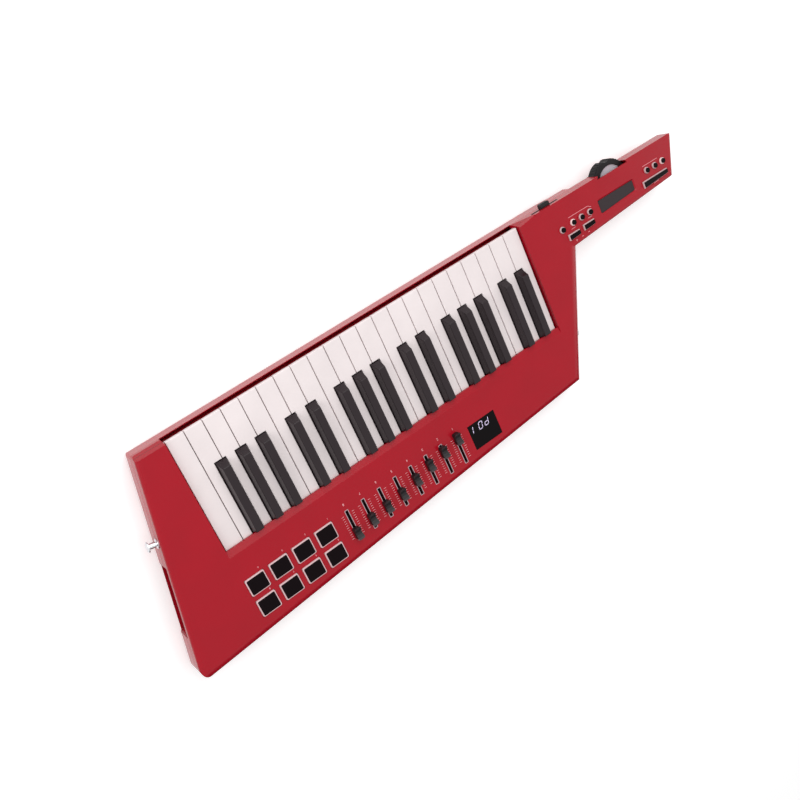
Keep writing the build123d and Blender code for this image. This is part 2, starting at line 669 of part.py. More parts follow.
def neck_board():
    """The board under the neck's buttons, with the slider's pot below its front edge."""
    level = PANEL_UNDER - KEYPAD_SHEET
    left, right = TIP_GROUP_X - 22, LONE_BUTTON_X + 11
    front = FRONT_Y + TIP_GROUP_IN - 7
    outline = [(left, front), (right, front), (right, front + 35), (left, front + 24)]
    board = prism(outline, level - BOARD_THICK, level)
    pot = SLIDER_SLOT / 2 + 5
    wall = FRONT_Y + WALL
    board += slab(SLIDER_X - pot, SLIDER_X + pot, wall, front + 1, level - BOARD_THICK, level)
    board += slab(SLIDER_X - pot, SLIDER_X + pot, wall, wall + 9, SLIDER_Z - 2.4, level - BOARD_THICK)
    half = SLIDER_STEM / 2 + STEM_GAP
    ends = SLIDER_X - SLIDER_SLOT / 2, SLIDER_X + SLIDER_SLOT / 2
    board -= slab(*ends, wall - 1, wall + 7, SLIDER_Z - half, SLIDER_Z + half)
    return board


def socket_board():
    """The upright board with the pedal jack, the round data socket and the square one."""
    x1 = pocket_x - WALL
    x0 = x1 - SOCKET_DEPTH
    board = slab(x0 - BOARD_THICK, x0, USB_Y - 12, JACK_Y + 12, POCKET_UNDER + 1, SPLIT_Z)
    board += slab(x0, x1, JACK_Y - 8, JACK_Y + 8, SOCKET_Z - 8, SOCKET_Z + 8)
    half = MIDI_BODY / 2
    board += slab(x0, x1, MIDI_Y - half, MIDI_Y + half, SOCKET_Z - half, SOCKET_Z + half)
    half_y, half_z = USB_WIDE / 2, USB_HIGH / 2
    board += slab(x0, x1, USB_Y - half_y, USB_Y + half_y, SOCKET_Z - half_z, SOCKET_Z + half_z)
    for front in socket_fronts(0):
        board += front
    end = pocket_x + SOCKET_PROUD
    board -= lying_rod(end - JACK_LENGTH, end + 1, JACK_Y, SOCKET_Z, JACK_RADIUS)
    board -= lying_rod(end - MIDI_DEPTH, end + 1, MIDI_Y, SOCKET_Z, MIDI_RADIUS - USB_SHELL)
    half_y -= USB_SHELL
    half_z -= USB_SHELL
    mouth = end - MIDI_DEPTH, end + 1
    board -= slab(*mouth, USB_Y - half_y, USB_Y + half_y, SOCKET_Z - half_z, SOCKET_Z + half_z)
    return board


# Keyboard: white keys cut out for the black ones, all on one rod behind the panel's edge
black_at = {}
for octave in range(OCTAVES):
    for name, shift in BLACK_SHIFTS.items():
        line = octave * len(NOTES) + NOTES.index(name[0]) + 1
        black_at[line] = (f"key_{name}{FIRST_OCTAVE + octave}", line * PITCH + shift)


def white_edges(i):
    """The sides of a white key's head and of its tail between the black keys."""
    head = i * PITCH + KEY_GAP / 2, (i + 1) * PITCH - KEY_GAP / 2
    beside = BLACK_BASE / 2 + KEY_GAP
    left = black_at[i][1] + beside if i in black_at else head[0]
    right = black_at[i + 1][1] - beside if i + 1 in black_at else head[1]
    return head, (left, right)


def lever(x):
    """The arm behind a key, with the boss that turns on the rod."""
    x0, x1 = x - LEVER_WIDTH / 2, x + LEVER_WIDTH / 2
    arm = slab(x0, x1, KEY_TAIL - KEY_WALL, PIVOT_Y, PIVOT_Z - LEVER_ROUND, PIVOT_Z + LEVER_ROUND)
    return arm + lying_rod(x0, x1, PIVOT_Y, PIVOT_Z, LEVER_ROUND)


def pivot_bore(x):
    """The hole for the rod through one lever."""
    return lying_rod(x - LEVER_WIDTH, x + LEVER_WIDTH, PIVOT_Y, PIVOT_Z, ROD_RADIUS + ROD_CLEARANCE)


def white_key(i):
    """A white key: a thin shell with an overhanging lip, open below."""
    head, tail = white_edges(i)
    shoulder = -BLACK_LENGTH - KEY_GAP
    points = [(head[0], -WHITE_LENGTH), (head[1], -WHITE_LENGTH)]
    if tail[1] < head[1]:
        points += [(head[1], shoulder), (tail[1], shoulder)]
    points += [(tail[1], KEY_TAIL), (tail[0], KEY_TAIL)]
    if tail[0] > head[0]:
        points += [(tail[0], shoulder), (head[0], shoulder)]
    face = make_face(Polyline(*points, close=True))
    key = extrude(Pos(0, 0, -WHITE_DEPTH) * face, WHITE_DEPTH)
    key = fillet(key.edges().group_by(Axis.Z)[-1], KEY_EDGE)
    wide = head[0] - 1, head[1] + 1
    key -= slab(*wide, shoulder + KEY_TAIL, KEY_TAIL + 1, -WHITE_DEPTH - 1, -WHITE_SHALLOW)
    key -= slab(*wide, -WHITE_LENGTH - 1, -WHITE_LENGTH + LIP_OVERHANG, -WHITE_DEPTH - 1, -LIP_DEPTH)
    inside = offset(face, -KEY_WALL, kind=Kind.INTERSECTION)
    hollow = extrude(Pos(0, 0, -WHITE_DEPTH - 1) * inside, WHITE_DEPTH + 1 - KEY_WALL)
    key -= hollow & slab(*wide, -WHITE_LENGTH + LIP_OVERHANG + KEY_WALL, 99, -99, 0)
    middle = (tail[0] + tail[1]) / 2
    return key + lever(middle) - pivot_bore(middle)


def black_key(x):
    """A black key: a tapered top with a sloped front on an open shell."""
    base, top = BLACK_BASE / 2, BLACK_TOP / 2
    low = [(x - base, -BLACK_LENGTH), (x + base, -BLACK_LENGTH),
           (x + base, BLACK_TAIL), (x - base, BLACK_TAIL)]
    y_top = -BLACK_LENGTH + BLACK_SLOPE
    high = [(x - top, y_top), (x + top, y_top), (x + top, BLACK_TAIL), (x - top, BLACK_TAIL)]
    lower = make_face(Polyline(*low, close=True))
    upper = Pos(0, 0, BLACK_RISE) * make_face(Polyline(*high, close=True))
    cap = loft([lower, upper], ruled=True)
    rising = [e for e in cap.edges() if abs((e @ 0).Z - (e @ 1).Z) > 1]
    slanted = [e for e in rising if (e @ 0.5).Y < -BLACK_LENGTH / 2]
    cap = fillet(cap.edges().group_by(Axis.Z)[-1] + slanted, BLACK_EDGE)
    key = cap + extrude(Pos(0, 0, -WHITE_SHALLOW) * lower, WHITE_SHALLOW)
    inside = offset(lower, -KEY_WALL, kind=Kind.INTERSECTION)
    key -= extrude(Pos(0, 0, -WHITE_SHALLOW - 1) * inside, WHITE_SHALLOW + 1 + KEY_WALL)
    key += slab(x - LEVER_WIDTH / 2, x + LEVER_WIDTH / 2, BLACK_TAIL - KEY_WALL / 2, KEY_TAIL,
                PIVOT_Z - LEVER_ROUND, PIVOT_Z + LEVER_ROUND)
    return key + lever(x) - pivot_bore(x)


def key_bed():
    """The chassis under the keys: floor, ribs, a guide in each key, and the rod's bearings."""
    x0, x1 = CUT_START - WALL, CUT_END + WALL
    rear = PIVOT_Y + SADDLE_LENGTH - 4
    front = FRONT_Y + UNDER_ROLL - 6
    bed = slab(x0, x1, front, rear, BED_TOP - BED_THICK, BED_TOP)
    for share in range(BED_RIBS):
        y = front + BED_RIB + share * (rear - front - 3 * BED_RIB) / (BED_RIBS - 1)
        bed += slab(x0 + 8, x1 - 8, y, y + BED_RIB, BODY_UNDER + WALL, BED_TOP - BED_THICK)
    ears = [(x0, x0 + WALL), (x1 - WALL, x1)]
    middles = [sum(white_edges(i)[1]) / 2 for i in range(WHITE_COUNT)]
    for i in range(1, WHITE_COUNT):
        if i not in black_at:
            x = (middles[i - 1] + middles[i]) / 2
            ears.append((x - SADDLE / 2, x + SADDLE / 2))
    for a, b in ears:
        bed += slab(a, b, PIVOT_Y - SADDLE_LENGTH / 2, PIVOT_Y + SADDLE_LENGTH / 2, BED_TOP, PIVOT_Z + 4)
    bed -= lying_rod(x0 - 1, x1 + 1, PIVOT_Y, PIVOT_Z, ROD_RADIUS + ROD_CLEARANCE)
    slack = KEY_WALL + GUIDE_CLEARANCE
    half = GUIDE_THICK / 2
    for i in range(WHITE_COUNT):
        a, b = white_edges(i)[0]
        places = WHITE_GUIDE_Y - half, WHITE_GUIDE_Y + half
        bed += slab(a + slack, b - slack, *places, BED_TOP, WHITE_GUIDE_TOP)
    for name, x in black_at.values():
        width = BLACK_BASE / 2 - slack
        places = BLACK_GUIDE_Y - half, BLACK_GUIDE_Y + half
        bed += slab(x - width, x + width, *places, BED_TOP, BLACK_GUIDE_TOP)
    return bed


def pivot_rod():
    """The steel rod that all the keys turn on."""
    return lying_rod(CUT_START - WALL + 0.5, CUT_END + WALL - 0.5, PIVOT_Y, PIVOT_Z, ROD_RADIUS)


def pad_mat():
    """Eight drum pads moulded on one silicone sheet."""
    x0, x1, y0, y1 = pad_sheet()
    mat = slab(x0, x1, y0, y1, PANEL_UNDER - PAD_SHEET, PANEL_UNDER)
    for x, y in pad_places():
        mat += pad_block(x, y, 0, PANEL_RISE + PAD_PROUD)
        mat += pad_block(x, y, PAD_BORDER, PANEL_RISE + PAD_TOP_PROUD)
    return mat


def pad_block(x, y, border, top):
    """One level of a pad: the light border, or the dark top within it."""
    half_x, half_y = PAD_WIDTH / 2 - border, PAD_HEIGHT / 2 - border
    block = slab(x - half_x, x + half_x, y - half_y, y + half_y, PANEL_UNDER - 1, top)
    block = fillet(block.edges().filter_by(Axis.Z), PAD_CORNER - border / 2)
    return chamfer(block.edges().group_by(Axis.Z)[-1], PAD_EDGE - border / 4)


def neck_keypad():
    """The buttons of the neck, moulded on two silicone sheets."""
    low = PANEL_UNDER - KEYPAD_SHEET
    y0, y1 = FRONT_Y + ROOT_GROUP_IN - 8, FRONT_Y + ROOT_GROUP_IN + 21.4
    root = slab(ROOT_GROUP_X - 23, LONE_BUTTON_X + 7, y0, y1, low, PANEL_UNDER)
    x = TIP_GROUP_X
    tip = slab(x - 21, x + 21, FRONT_Y + TIP_GROUP_IN - 6, FRONT_Y + TIP_GROUP_IN + 6.5, low, PANEL_UNDER)
    for x, y in round_buttons:
        root += round_cap(x, y)
    for x, y in tip_buttons:
        tip += round_cap(x, y)
    for outline in rect_buttons:
        root += flat_cap(outline, PANEL_UNDER - 1)
    return [root, tip]


def round_cap(x, y):
    """A round button: a light base with a dark top."""
    base = rod(x, y, PANEL_UNDER - 1, PANEL_RISE + BUTTON_PROUD, ROUND_BUTTON + BUTTON_BORDER)
    top = rod(x, y, PANEL_UNDER - 1, PANEL_RISE + BUTTON_TOP_PROUD, ROUND_BUTTON)
    return soften(base) + soften(top)


def flat_cap(outline, low):
    """A four-sided button: a light base with a dark top."""
    base = prism(grown(outline, BUTTON_BORDER), low, PANEL_RISE + BUTTON_PROUD)
    return soften(base) + soften(prism(outline, low, PANEL_RISE + BUTTON_TOP_PROUD))


def soften(cap):
    """Breaks the upper edge of a cap."""
    return chamfer(cap.edges().group_by(Axis.Z)[-1], BUTTON_EDGE)


def hold_bar():
    """The long bar button, held under the panel by its flange."""
    top = PANEL_UNDER - FLANGE_GAP
    flange = prism(grown(bar_outline, BUTTON_BORDER + BAR_LIP), top - BAR_FLANGE, top)
    return flat_cap(bar_outline, top - BAR_FLANGE) + flange


def ribbon_strip():
    """The touch strip that lies in the neck's recess."""
    strip = prism(grown(ribbon_outline, -RIBBON_GAP), PANEL_UNDER, PANEL_UNDER + RIBBON_THICK)
    return fillet(strip.edges().filter_by(Axis.Z), RIBBON_CORNER - RIBBON_GAP)


def fader_cap(number):
    """A fader's waisted cap, lower in the middle, on the blade that enters the pot."""
    x, y = fader_x(number), FADER_SLOT_START + FADER_PLACES[number]
    low = PANEL_RISE + FADER_LIFT
    wide, waist, length = FADER_CAP_WIDTH / 2, FADER_CAP_WAIST / 2, FADER_CAP_LENGTH / 2
    side = [(y - length, low), (y + length, low), (y + length, low + FADER_CAP_HIGH),
            (y + 1.6, low + FADER_CAP_HIGH - 2.6), (y - 1.6, low + FADER_CAP_HIGH - 2.6),
            (y - length, low + FADER_CAP_HIGH)]
    body = along_x(side, x - wide, x + wide)
    plan = [(x - wide, y - length), (x + wide, y - length), (x + waist, y), (x + wide, y + length),
            (x - wide, y + length), (x - waist, y)]
    body = body & prism(plan, low - 1, low + FADER_CAP_HIGH + 1)
    corners = body.edges().filter_by(Axis.Z).filter_by(lambda e: abs(e.center().Y - y) > length - 0.1)
    body = fillet(corners, FADER_CAP_CORNER)
    half, reach = FADER_STEM / 2, STEM_LONG / 2
    return body + slab(x - half, x + half, y - reach, y + reach, STEM_END_Z, low + 1)


def pitch_wheel():
    """The thumb wheel: a ribbed rim with a finger notch, a dished face and a bore."""
    low = WHEEL_TOP - WHEEL_THICK
    core = rod(0, 0, low, WHEEL_TOP, WHEEL_RADIUS - WHEEL_RIB_DEPTH)
    core = chamfer(core.edges().filter_by(GeomType.CIRCLE), 1.2)
    ribs = []
    for i in range(2 * WHEEL_RIBS):
        radius = WHEEL_RADIUS - (i % 2) * 2 * WHEEL_RIB_DEPTH
        ribs.append(Vector(radius, 0).rotate(Axis.Z, (i + 0.5) * 180 / WHEEL_RIBS))
    core += prism([(p.X, p.Y) for p in ribs], low + 2, WHEEL_TOP - 2)
    core -= rod(0, -WHEEL_RADIUS - WHEEL_NOTCH + WHEEL_NOTCH_DEPTH, low - 1, WHEEL_TOP + 1, WHEEL_NOTCH)
    core -= rod(0, 0, WHEEL_TOP - 1, WHEEL_TOP + 1, WHEEL_RADIUS - 9)
    core += rod(0, 0, WHEEL_TOP - 2, WHEEL_TOP - 0.2, WHEEL_POST + 4)
    core -= rod(0, 0, low - 1, WHEEL_TOP + 1, WHEEL_POST + ROD_CLEARANCE)
    return Pos(WHEEL_X, WHEEL_Y, 0) * core


def neck_slider():
    """The slider's ridged cap outside the front wall, on its blade."""
    front = FRONT_Y - FADER_LIFT
    half, high = SLIDER_CAP / 2, SLIDER_CAP_HIGH / 2
    ends = SLIDER_X - half, SLIDER_X + half
    cap = slab(*ends, front - SLIDER_PROUD, front, SLIDER_Z - high, SLIDER_Z + high)
    cap = fillet(cap.edges().filter_by(Axis.Z).group_by(Axis.Y)[0], 2.0)
    for i in (-2, -1, 0, 1, 2):
        groove = SLIDER_X + i * 2.4
        bottom = front - SLIDER_PROUD + 0.8
        cap -= slab(groove - 0.5, groove + 0.5, bottom - 2, bottom, -99, 99)
    stem = STEM_LONG / 2
    blade = slab(SLIDER_X - stem, SLIDER_X + stem, front - 1, FRONT_Y + WALL + 6.5,
                 SLIDER_Z - SLIDER_STEM / 2, SLIDER_Z + SLIDER_STEM / 2)
    return cap + blade


treble_out = Vector(1, -TREBLE_LEAN, 0).normalized()
bass_out = Vector(-1, BASS_LEAN, 0).normalized()
treble_peg = Plane(origin=(treble_wall(PEG_Y), PEG_Y, PEG_Z), z_dir=treble_out)
bass_peg = Plane(origin=(bass_wall(BASS_PEG_Y), BASS_PEG_Y, BASS_PEG_Z), z_dir=bass_out)
window_half = DISPLAY_WIDTH / 2, DISPLAY_HEIGHT / 2

pieces = {
    "top_cover": top_cover(),
    "back_cover": back_cover(),
    "battery_door": battery_door(),
    "key_bed": key_bed(),
    "pivot_rod": pivot_rod(),
    "circuit_board": circuit_board(),
    "socket_board": socket_board(),
    "control_mats": Part() + [pad_mat(), *neck_keypad()],
    "hold_bar": hold_bar(),
    "display_window": slab(
        display_x - window_half[0], display_x + window_half[0], DISPLAY_Y - window_half[1],
        DISPLAY_Y + window_half[1], PANEL_RISE - DISPLAY_THICK, PANEL_RISE
    ),
    "ribbon_strip": ribbon_strip(),
    "pitch_wheel": pitch_wheel(),
    "neck_slider": neck_slider(),
    "strap_pegs": Part() + [strap_peg(treble_peg), strap_peg(bass_peg)],
    "screws": Part() + screws,
}
for number in range(FADER_COUNT):
    pieces[f"fader_{FADER_COUNT - number}"] = fader_cap(number)
for i in range(WHITE_COUNT):
    pieces[f"key_{NOTES[i % len(NOTES)]}{FIRST_OCTAVE + i // len(NOTES)}"] = white_key(i)
for name, x in black_at.values():
    pieces[name] = black_key(x)

# The origin is under the middle of the instrument, on the surface it lies on
boxes = [piece.bounding_box() for piece in pieces.values()]
lowest = [min(getattr(box.min, axis) for box in boxes) for axis in "XYZ"]
highest = [max(getattr(box.max, axis) for box in boxes) for axis in "XYZ"]
origin = Vector((lowest[0] + highest[0]) / 2, (lowest[1] + highest[1]) / 2, lowest[2])

os.makedirs("parts", exist_ok=True)
for name, piece in pieces.items():
    export_step(Pos(-origin) * piece, f"parts/{name}.step")
print("origin in the layout", origin)
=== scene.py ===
from math import atan2, cos, pi, radians, sin, tan

import bpy
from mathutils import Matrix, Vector


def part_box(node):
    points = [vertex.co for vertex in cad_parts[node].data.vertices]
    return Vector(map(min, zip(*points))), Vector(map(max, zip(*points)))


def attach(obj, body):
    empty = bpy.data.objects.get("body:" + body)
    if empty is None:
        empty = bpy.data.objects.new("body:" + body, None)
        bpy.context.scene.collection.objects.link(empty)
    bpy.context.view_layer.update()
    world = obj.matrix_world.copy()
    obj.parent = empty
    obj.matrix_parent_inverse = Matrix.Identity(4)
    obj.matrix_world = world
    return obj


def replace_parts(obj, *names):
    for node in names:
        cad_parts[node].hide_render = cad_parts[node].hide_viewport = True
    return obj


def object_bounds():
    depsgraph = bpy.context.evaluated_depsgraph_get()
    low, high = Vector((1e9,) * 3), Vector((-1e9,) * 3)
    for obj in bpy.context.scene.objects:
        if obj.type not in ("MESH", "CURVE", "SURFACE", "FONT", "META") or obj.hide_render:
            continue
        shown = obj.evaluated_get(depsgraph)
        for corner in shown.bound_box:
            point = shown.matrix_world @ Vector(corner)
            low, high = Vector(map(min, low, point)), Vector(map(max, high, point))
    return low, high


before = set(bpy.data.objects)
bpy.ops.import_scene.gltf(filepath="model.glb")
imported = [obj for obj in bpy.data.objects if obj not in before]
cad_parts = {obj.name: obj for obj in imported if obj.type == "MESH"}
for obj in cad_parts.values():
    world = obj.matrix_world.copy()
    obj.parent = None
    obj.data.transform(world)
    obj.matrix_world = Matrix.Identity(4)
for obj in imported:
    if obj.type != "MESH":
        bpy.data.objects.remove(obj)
cad_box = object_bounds()


# The studio: a pale floor under a white sky and four soft lamps, with a black card that darkens
# the rear edge's sheen. The camera stands above the treble end's front corner, rolled so that the
# neck points to the upper right.
def linear(colour):
    """The linear values of an sRGB hex colour."""
    shares = [int(colour[i:i + 2], 16) / 255 for i in (1, 3, 5)]
    return (*[s / 12.92 if s <= 0.04045 else ((s + 0.055) / 1.055) ** 2.4 for s in shares], 1.0)


def add(tree, kind, links, **settings):
    """Adds a shader node, with its settings, its values and the outputs that it takes."""
    node = tree.nodes.new("ShaderNode" + kind)
    for name, value in settings.items():
        setattr(node, name, value)
    for name, value in links.items():
        if isinstance(value, bpy.types.NodeSocket):
            tree.links.new(value, node.inputs[name])
        else:
            node.inputs[name].default_value = value
    return node


def background_rays(tree):
    """1 for the rays that see the background: from the camera, off a gloss or through glass."""
    path = add(tree, "LightPath", {})
    seen = add(tree, "Math", {0: path.outputs["Is Camera Ray"], 1: path.outputs["Is Glossy Ray"]})
    seen = add(tree, "Math", {0: seen.outputs[0], 1: path.outputs["Is Transmission Ray"]}, use_clamp=True)
    return seen.outputs[0]


scene = bpy.context.scene
scene.view_settings.view_transform = "Standard"

LENS = 45.52
CAMERA_PLACE = (0.558780, -0.428217, 1.089188)
CAMERA_TURN = (-7.08747, -30.14278, 152.76423)
bpy.ops.object.camera_add(location=CAMERA_PLACE, rotation=[radians(a) for a in CAMERA_TURN])
camera = bpy.context.object
camera.name = "camera"
camera.data.lens = LENS
scene.camera = camera

SKY_LIGHT = 0.50
sky = bpy.data.worlds.new("white_studio")
scene.world = sky
sky.use_nodes = True
sky.node_tree.nodes.clear()
strength = add(
    sky.node_tree, "MapRange", {"Value": background_rays(sky.node_tree), "To Min": SKY_LIGHT, "To Max": 1.0}
)
background = add(sky.node_tree, "Background", {"Color": linear("#FFFFFF"), "Strength": strength.outputs[0]})
add(sky.node_tree, "OutputWorld", {"Surface": background.outputs[0]})

# Each lamp's place, the side of its square and its power.
LAMPS = {
    "lamp_overhead": ((0.15, -0.6, 1.7), 1.5, 9.0),
    "lamp_front": ((-0.2, -1.4, 1.35), 1.6, 11.0),
    "lamp_treble_side": ((1.7, -0.6, 0.9), 1.0, 7.0),
    "lamp_bass_side": ((-1.7, 0.2, 0.7), 1.2, 3.0),
}
for name, (place, side, power) in LAMPS.items():
    aim = Vector(place).to_track_quat("Z", "Y").to_euler()
    bpy.ops.object.light_add(type="AREA", location=place, rotation=aim)
    lamp = bpy.context.object
    lamp.name = name
    lamp.data.size = side
    lamp.data.energy = power

FLOOR_SIDE = 14.0
FLOOR_LIFT = 0.34
FLOOR_GAP = 0.0003
bpy.ops.mesh.primitive_plane_add(size=FLOOR_SIDE, location=(0, 0, -FLOOR_GAP))
floor = bpy.context.object
floor.name = "floor"
paper = bpy.data.materials.new("matt_white_paper")
paper.use_nodes = True
paper.node_tree.nodes.clear()
matt = add(paper.node_tree, "BsdfDiffuse", {"Color": linear("#F4F4F4")})
lift = add(
    paper.node_tree, "Math", {0: background_rays(paper.node_tree), 1: FLOOR_LIFT}, operation="MULTIPLY"
)
glow = add(paper.node_tree, "Emission", {"Strength": lift.outputs[0]})
both = add(paper.node_tree, "AddShader", {0: matt.outputs[0], 1: glow.outputs[0]})
add(paper.node_tree, "OutputMaterial", {"Surface": both.outputs[0]})
floor.data.materials.append(paper)

CARD_SIDE = 1.6
CARD_TILT = radians(32)
CARD_GAP = 0.02
card_place = (0, cad_box[1].y + CARD_GAP + CARD_SIDE / 2 * cos(CARD_TILT), CARD_SIDE / 2 * sin(CARD_TILT))
bpy.ops.mesh.primitive_plane_add(size=CARD_SIDE, location=card_place, rotation=(CARD_TILT, 0, 0))
card = bpy.context.object
card.name = "black_card"
board = bpy.data.materials.new("matt_black_card")
board.use_nodes = True
board.node_tree.nodes.clear()
matt = add(board.node_tree, "BsdfDiffuse", {"Color": linear("#0C0C0C")})
add(board.node_tree, "OutputMaterial", {"Surface": matt.outputs[0]})
card.data.materials.append(board)
card.visible_camera = False
card.visible_diffuse = False
card.visible_shadow = False


# The lower casing: the body's tray, the neck's tray and the battery door. Red ABS, injection
# moulded against spark-eroded steel, so it has a satin sheen over a fine, even grain.
CLOUD = 45.0
GLOSS_SWING = 0.03


def new_finish(name, colour, roughness, grain, depth, **sockets):
    """A surface whose grain measures that many millimetres, faintly uneven in colour and gloss.

    The real grain of moulded and printed surfaces is finer: it is drawn as coarse as it needs to show.
    """
    finish = bpy.data.materials.new(name)
    finish.use_nodes = True
    tree = finish.node_tree
    tree.nodes.clear()
    point = add(tree, "TexCoord", {}).outputs["Object"]
    fine = add(tree, "TexNoise", {"Vector": point, "Scale": 1000 / grain, "Detail": 3.0})
    cloud = add(tree, "TexNoise", {"Vector": point, "Scale": 1000 / CLOUD, "Detail": 4.0})
    bump = add(tree, "Bump", {"Height": fine.outputs[0], "Strength": depth, "Distance": grain / 4000})
    gloss = add(
        tree, "MapRange",
        {"Value": cloud.outputs[0], "From Min": 0.35, "From Max": 0.65,
         "To Min": roughness - GLOSS_SWING, "To Max": roughness + GLOSS_SWING},
    )
    shade = add(
        tree, "MapRange",
        {"Value": cloud.outputs[0], "From Min": 0.3, "From Max": 0.7, "To Min": 0.96, "To Max": 1.03},
    )
    tint = add(tree, "HueSaturation", {"Color": linear(colour), "Value": shade.outputs[0]})
    shader = add(
        tree, "BsdfPrincipled",
        {"Base Color": tint.outputs[0], "Roughness": gloss.outputs[0], "Normal": bump.outputs[0],
         **{key.replace("_", " "): value for key, value in sockets.items()}},
    )
    add(tree, "OutputMaterial", {"Surface": shader.outputs[0]})
    return finish, tree, shader, point


def recolour(tree, shader, share, colour):
    """Lays a second colour over the first where share is 1."""
    base = shader.inputs["Base Color"].links[0].from_socket
    mixed = add(tree, "Mix", {0: share, 6: base, 7: linear(colour)}, data_type="RGBA")
    tree.links.new(mixed.outputs[2], shader.inputs["Base Color"])


def between(tree, value, low, high):
    """A mask that is 1 where a value lies between two limits."""
    above = add(tree, "Math", {0: value, 1: low}, operation="GREATER_THAN")
    below = add(tree, "Math", {0: value, 1: high}, operation="LESS_THAN")
    return add(tree, "Math", {0: above.outputs[0], 1: below.outputs[0]}, operation="MULTIPLY").outputs[0]


def wear(node, finish):
    """Gives a CAD node its finish."""
    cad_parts[node].data.materials.clear()
    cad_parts[node].data.materials.append(finish)


RED = "#A90C20"
SEAM_COLOUR = "#3A0408"
SEAM_WIDTH = 0.0003
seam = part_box("back_cover")[1].z
for node, finish_name, gloss in (
    ("back_cover", "satin_moulded_red_abs_back", 0.24),
    ("battery_door", "satin_moulded_red_abs_door", 0.28),
):
    finish, tree, shader, point = new_finish(finish_name, RED, gloss, 0.35, 0.12, Specular_IOR_Level=0.7)
    z = add(tree, "SeparateXYZ", {0: point}).outputs[2]
    recolour(tree, shader, between(tree, z, seam - SEAM_WIDTH / 2, seam + SEAM_WIDTH), SEAM_COLOUR)
    wear(node, finish)


# The chassis under the keys: moulded in the same red ABS as the casing but matt, since only a
# strip of it shows, in the shade in front of the keys.
finish, *_ = new_finish("matt_moulded_red_abs", "#B0101E", 0.5, 0.5, 0.3, Specular_IOR_Level=0.2)
wear("key_bed", finish)


# The pivot rod: drawn steel, bright, with fine lines that the die leaves along its length. All
# the keys turn on it.
finish, tree, shader, point = new_finish("drawn_steel", "#B9B9BC", 0.28, 0.3, 0.1, Metallic=1.0)
DRAWN_LINE = 6.0
DRAWN_STRETCH = 40.0
along = add(tree, "Mapping", {"Vector": point, "Scale": (1.0, DRAWN_STRETCH, DRAWN_STRETCH)})
scratches = add(tree, "TexNoise", {"Vector": along.outputs[0], "Scale": 1000 / DRAWN_LINE, "Detail": 2.0})
tree.links.new(scratches.outputs[0], shader.inputs["Normal"].links[0].from_node.inputs["Height"])
wear("pivot_rod", finish)


# The circuit boards: green glass-fibre laminate, with black moulded components soldered on,
# which stand above the boards' own faces.
MM = 0.001
SOLDER_MASK = "#12502B"
TRACK_SPACING = 2.5
FACE_UNDER_KEY_TOPS = 6.2
finish, tree, shader, point = new_finish("solder_masked_laminate", SOLDER_MASK, 0.35, 0.6, 0.15)
weave = add(tree, "TexVoronoi", {"Vector": point, "Scale": 1000 / TRACK_SPACING})
tracks = add(tree, "Math", {0: weave.outputs[0], 1: 0.55}, operation="GREATER_THAN")
recolour(tree, shader, tracks.outputs[0], "#0E4425")
z = add(tree, "SeparateXYZ", {0: point}).outputs[2]
board_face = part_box("key_c3")[1].z - FACE_UNDER_KEY_TOPS * MM
parts = add(tree, "Math", {0: z, 1: board_face}, operation="GREATER_THAN")
recolour(tree, shader, parts.outputs[0], "#161617")
wear("circuit_board", finish)


# The socket board: laminate behind, and in front three sockets with bodies of black moulded PBT,
# which looks dull. They are soldered on.
LAMINATE_THICK = 1.6
finish, tree, shader, point = new_finish("moulded_black_pbt", "#131314", 0.45, 0.4, 0.2)
x = add(tree, "SeparateXYZ", {0: point}).outputs[0]
laminate_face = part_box("socket_board")[0].x + LAMINATE_THICK * MM
laminate = add(tree, "Math", {0: x, 1: laminate_face}, operation="LESS_THAN")
recolour(tree, shader, laminate.outputs[0], SOLDER_MASK)
wear("socket_board", finish)


# The white keys: ivory-white ABS, each moulded in one piece with a satin gloss. A faint clear
# coat keeps them from looking like paint.
finish, *_ = new_finish(
    "satin_moulded_white_abs", "#F1E6E6", 0.24, 0.5, 0.05, Coat_Weight=0.15, Coat_Roughness=0.1
)
white_keys = [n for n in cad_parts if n.startswith("key_") and "sharp" not in n and n != "key_bed"]
for node in white_keys:
    wear(node, finish)


# The black keys: black ABS, moulded against a grained tool, so their tops are satin and fingers
# don't slip.
finish, *_ = new_finish("matt_moulded_black_abs", "#251A1E", 0.24, 0.45, 0.2, Specular_IOR_Level=0.3)
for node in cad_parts:
    if "sharp" in node:
        wear(node, finish)


# The upper casing: panel and walls in one moulding of the same red ABS. The panel is a little
# glossier than the back.
finish, tree, shader, point = new_finish(
    "satin_moulded_red_abs_panel", RED, 0.24, 0.35, 0.06, Specular_IOR_Level=0.25
)
z = add(tree, "SeparateXYZ", {0: point}).outputs[2]
recolour(tree, shader, between(tree, z, seam - SEAM_WIDTH, seam + SEAM_WIDTH / 2), SEAM_COLOUR)
wear("top_cover", finish)


# The control mats: the drum pads and the neck's buttons, moulded in two shots of silicone. Each
# has a black top on a milky base that shows as a pale frame, and two of the buttons are lit.
bass_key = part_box("key_c3")
KEY_GAP = 0.5
KEY_LENGTH = 141.5
PANEL_TOP = 6.0


def at(x, y, z):
    """A place in millimetres from the keyboard's bass end, the panel's front edge and the key tops."""
    corner = bass_key[0].x - KEY_GAP * MM, bass_key[0].y + KEY_LENGTH * MM, bass_key[1].z
    return Vector((corner[0] + x * MM, corner[1] + y * MM, corner[2] + z * MM))


MILKY = "#E3C4C6"
BLACK_TOP = "#10080B"
# The heights above the key tops at which the black shot begins.
PAD_BASE = 7.65
BUTTON_BASE = 8.05
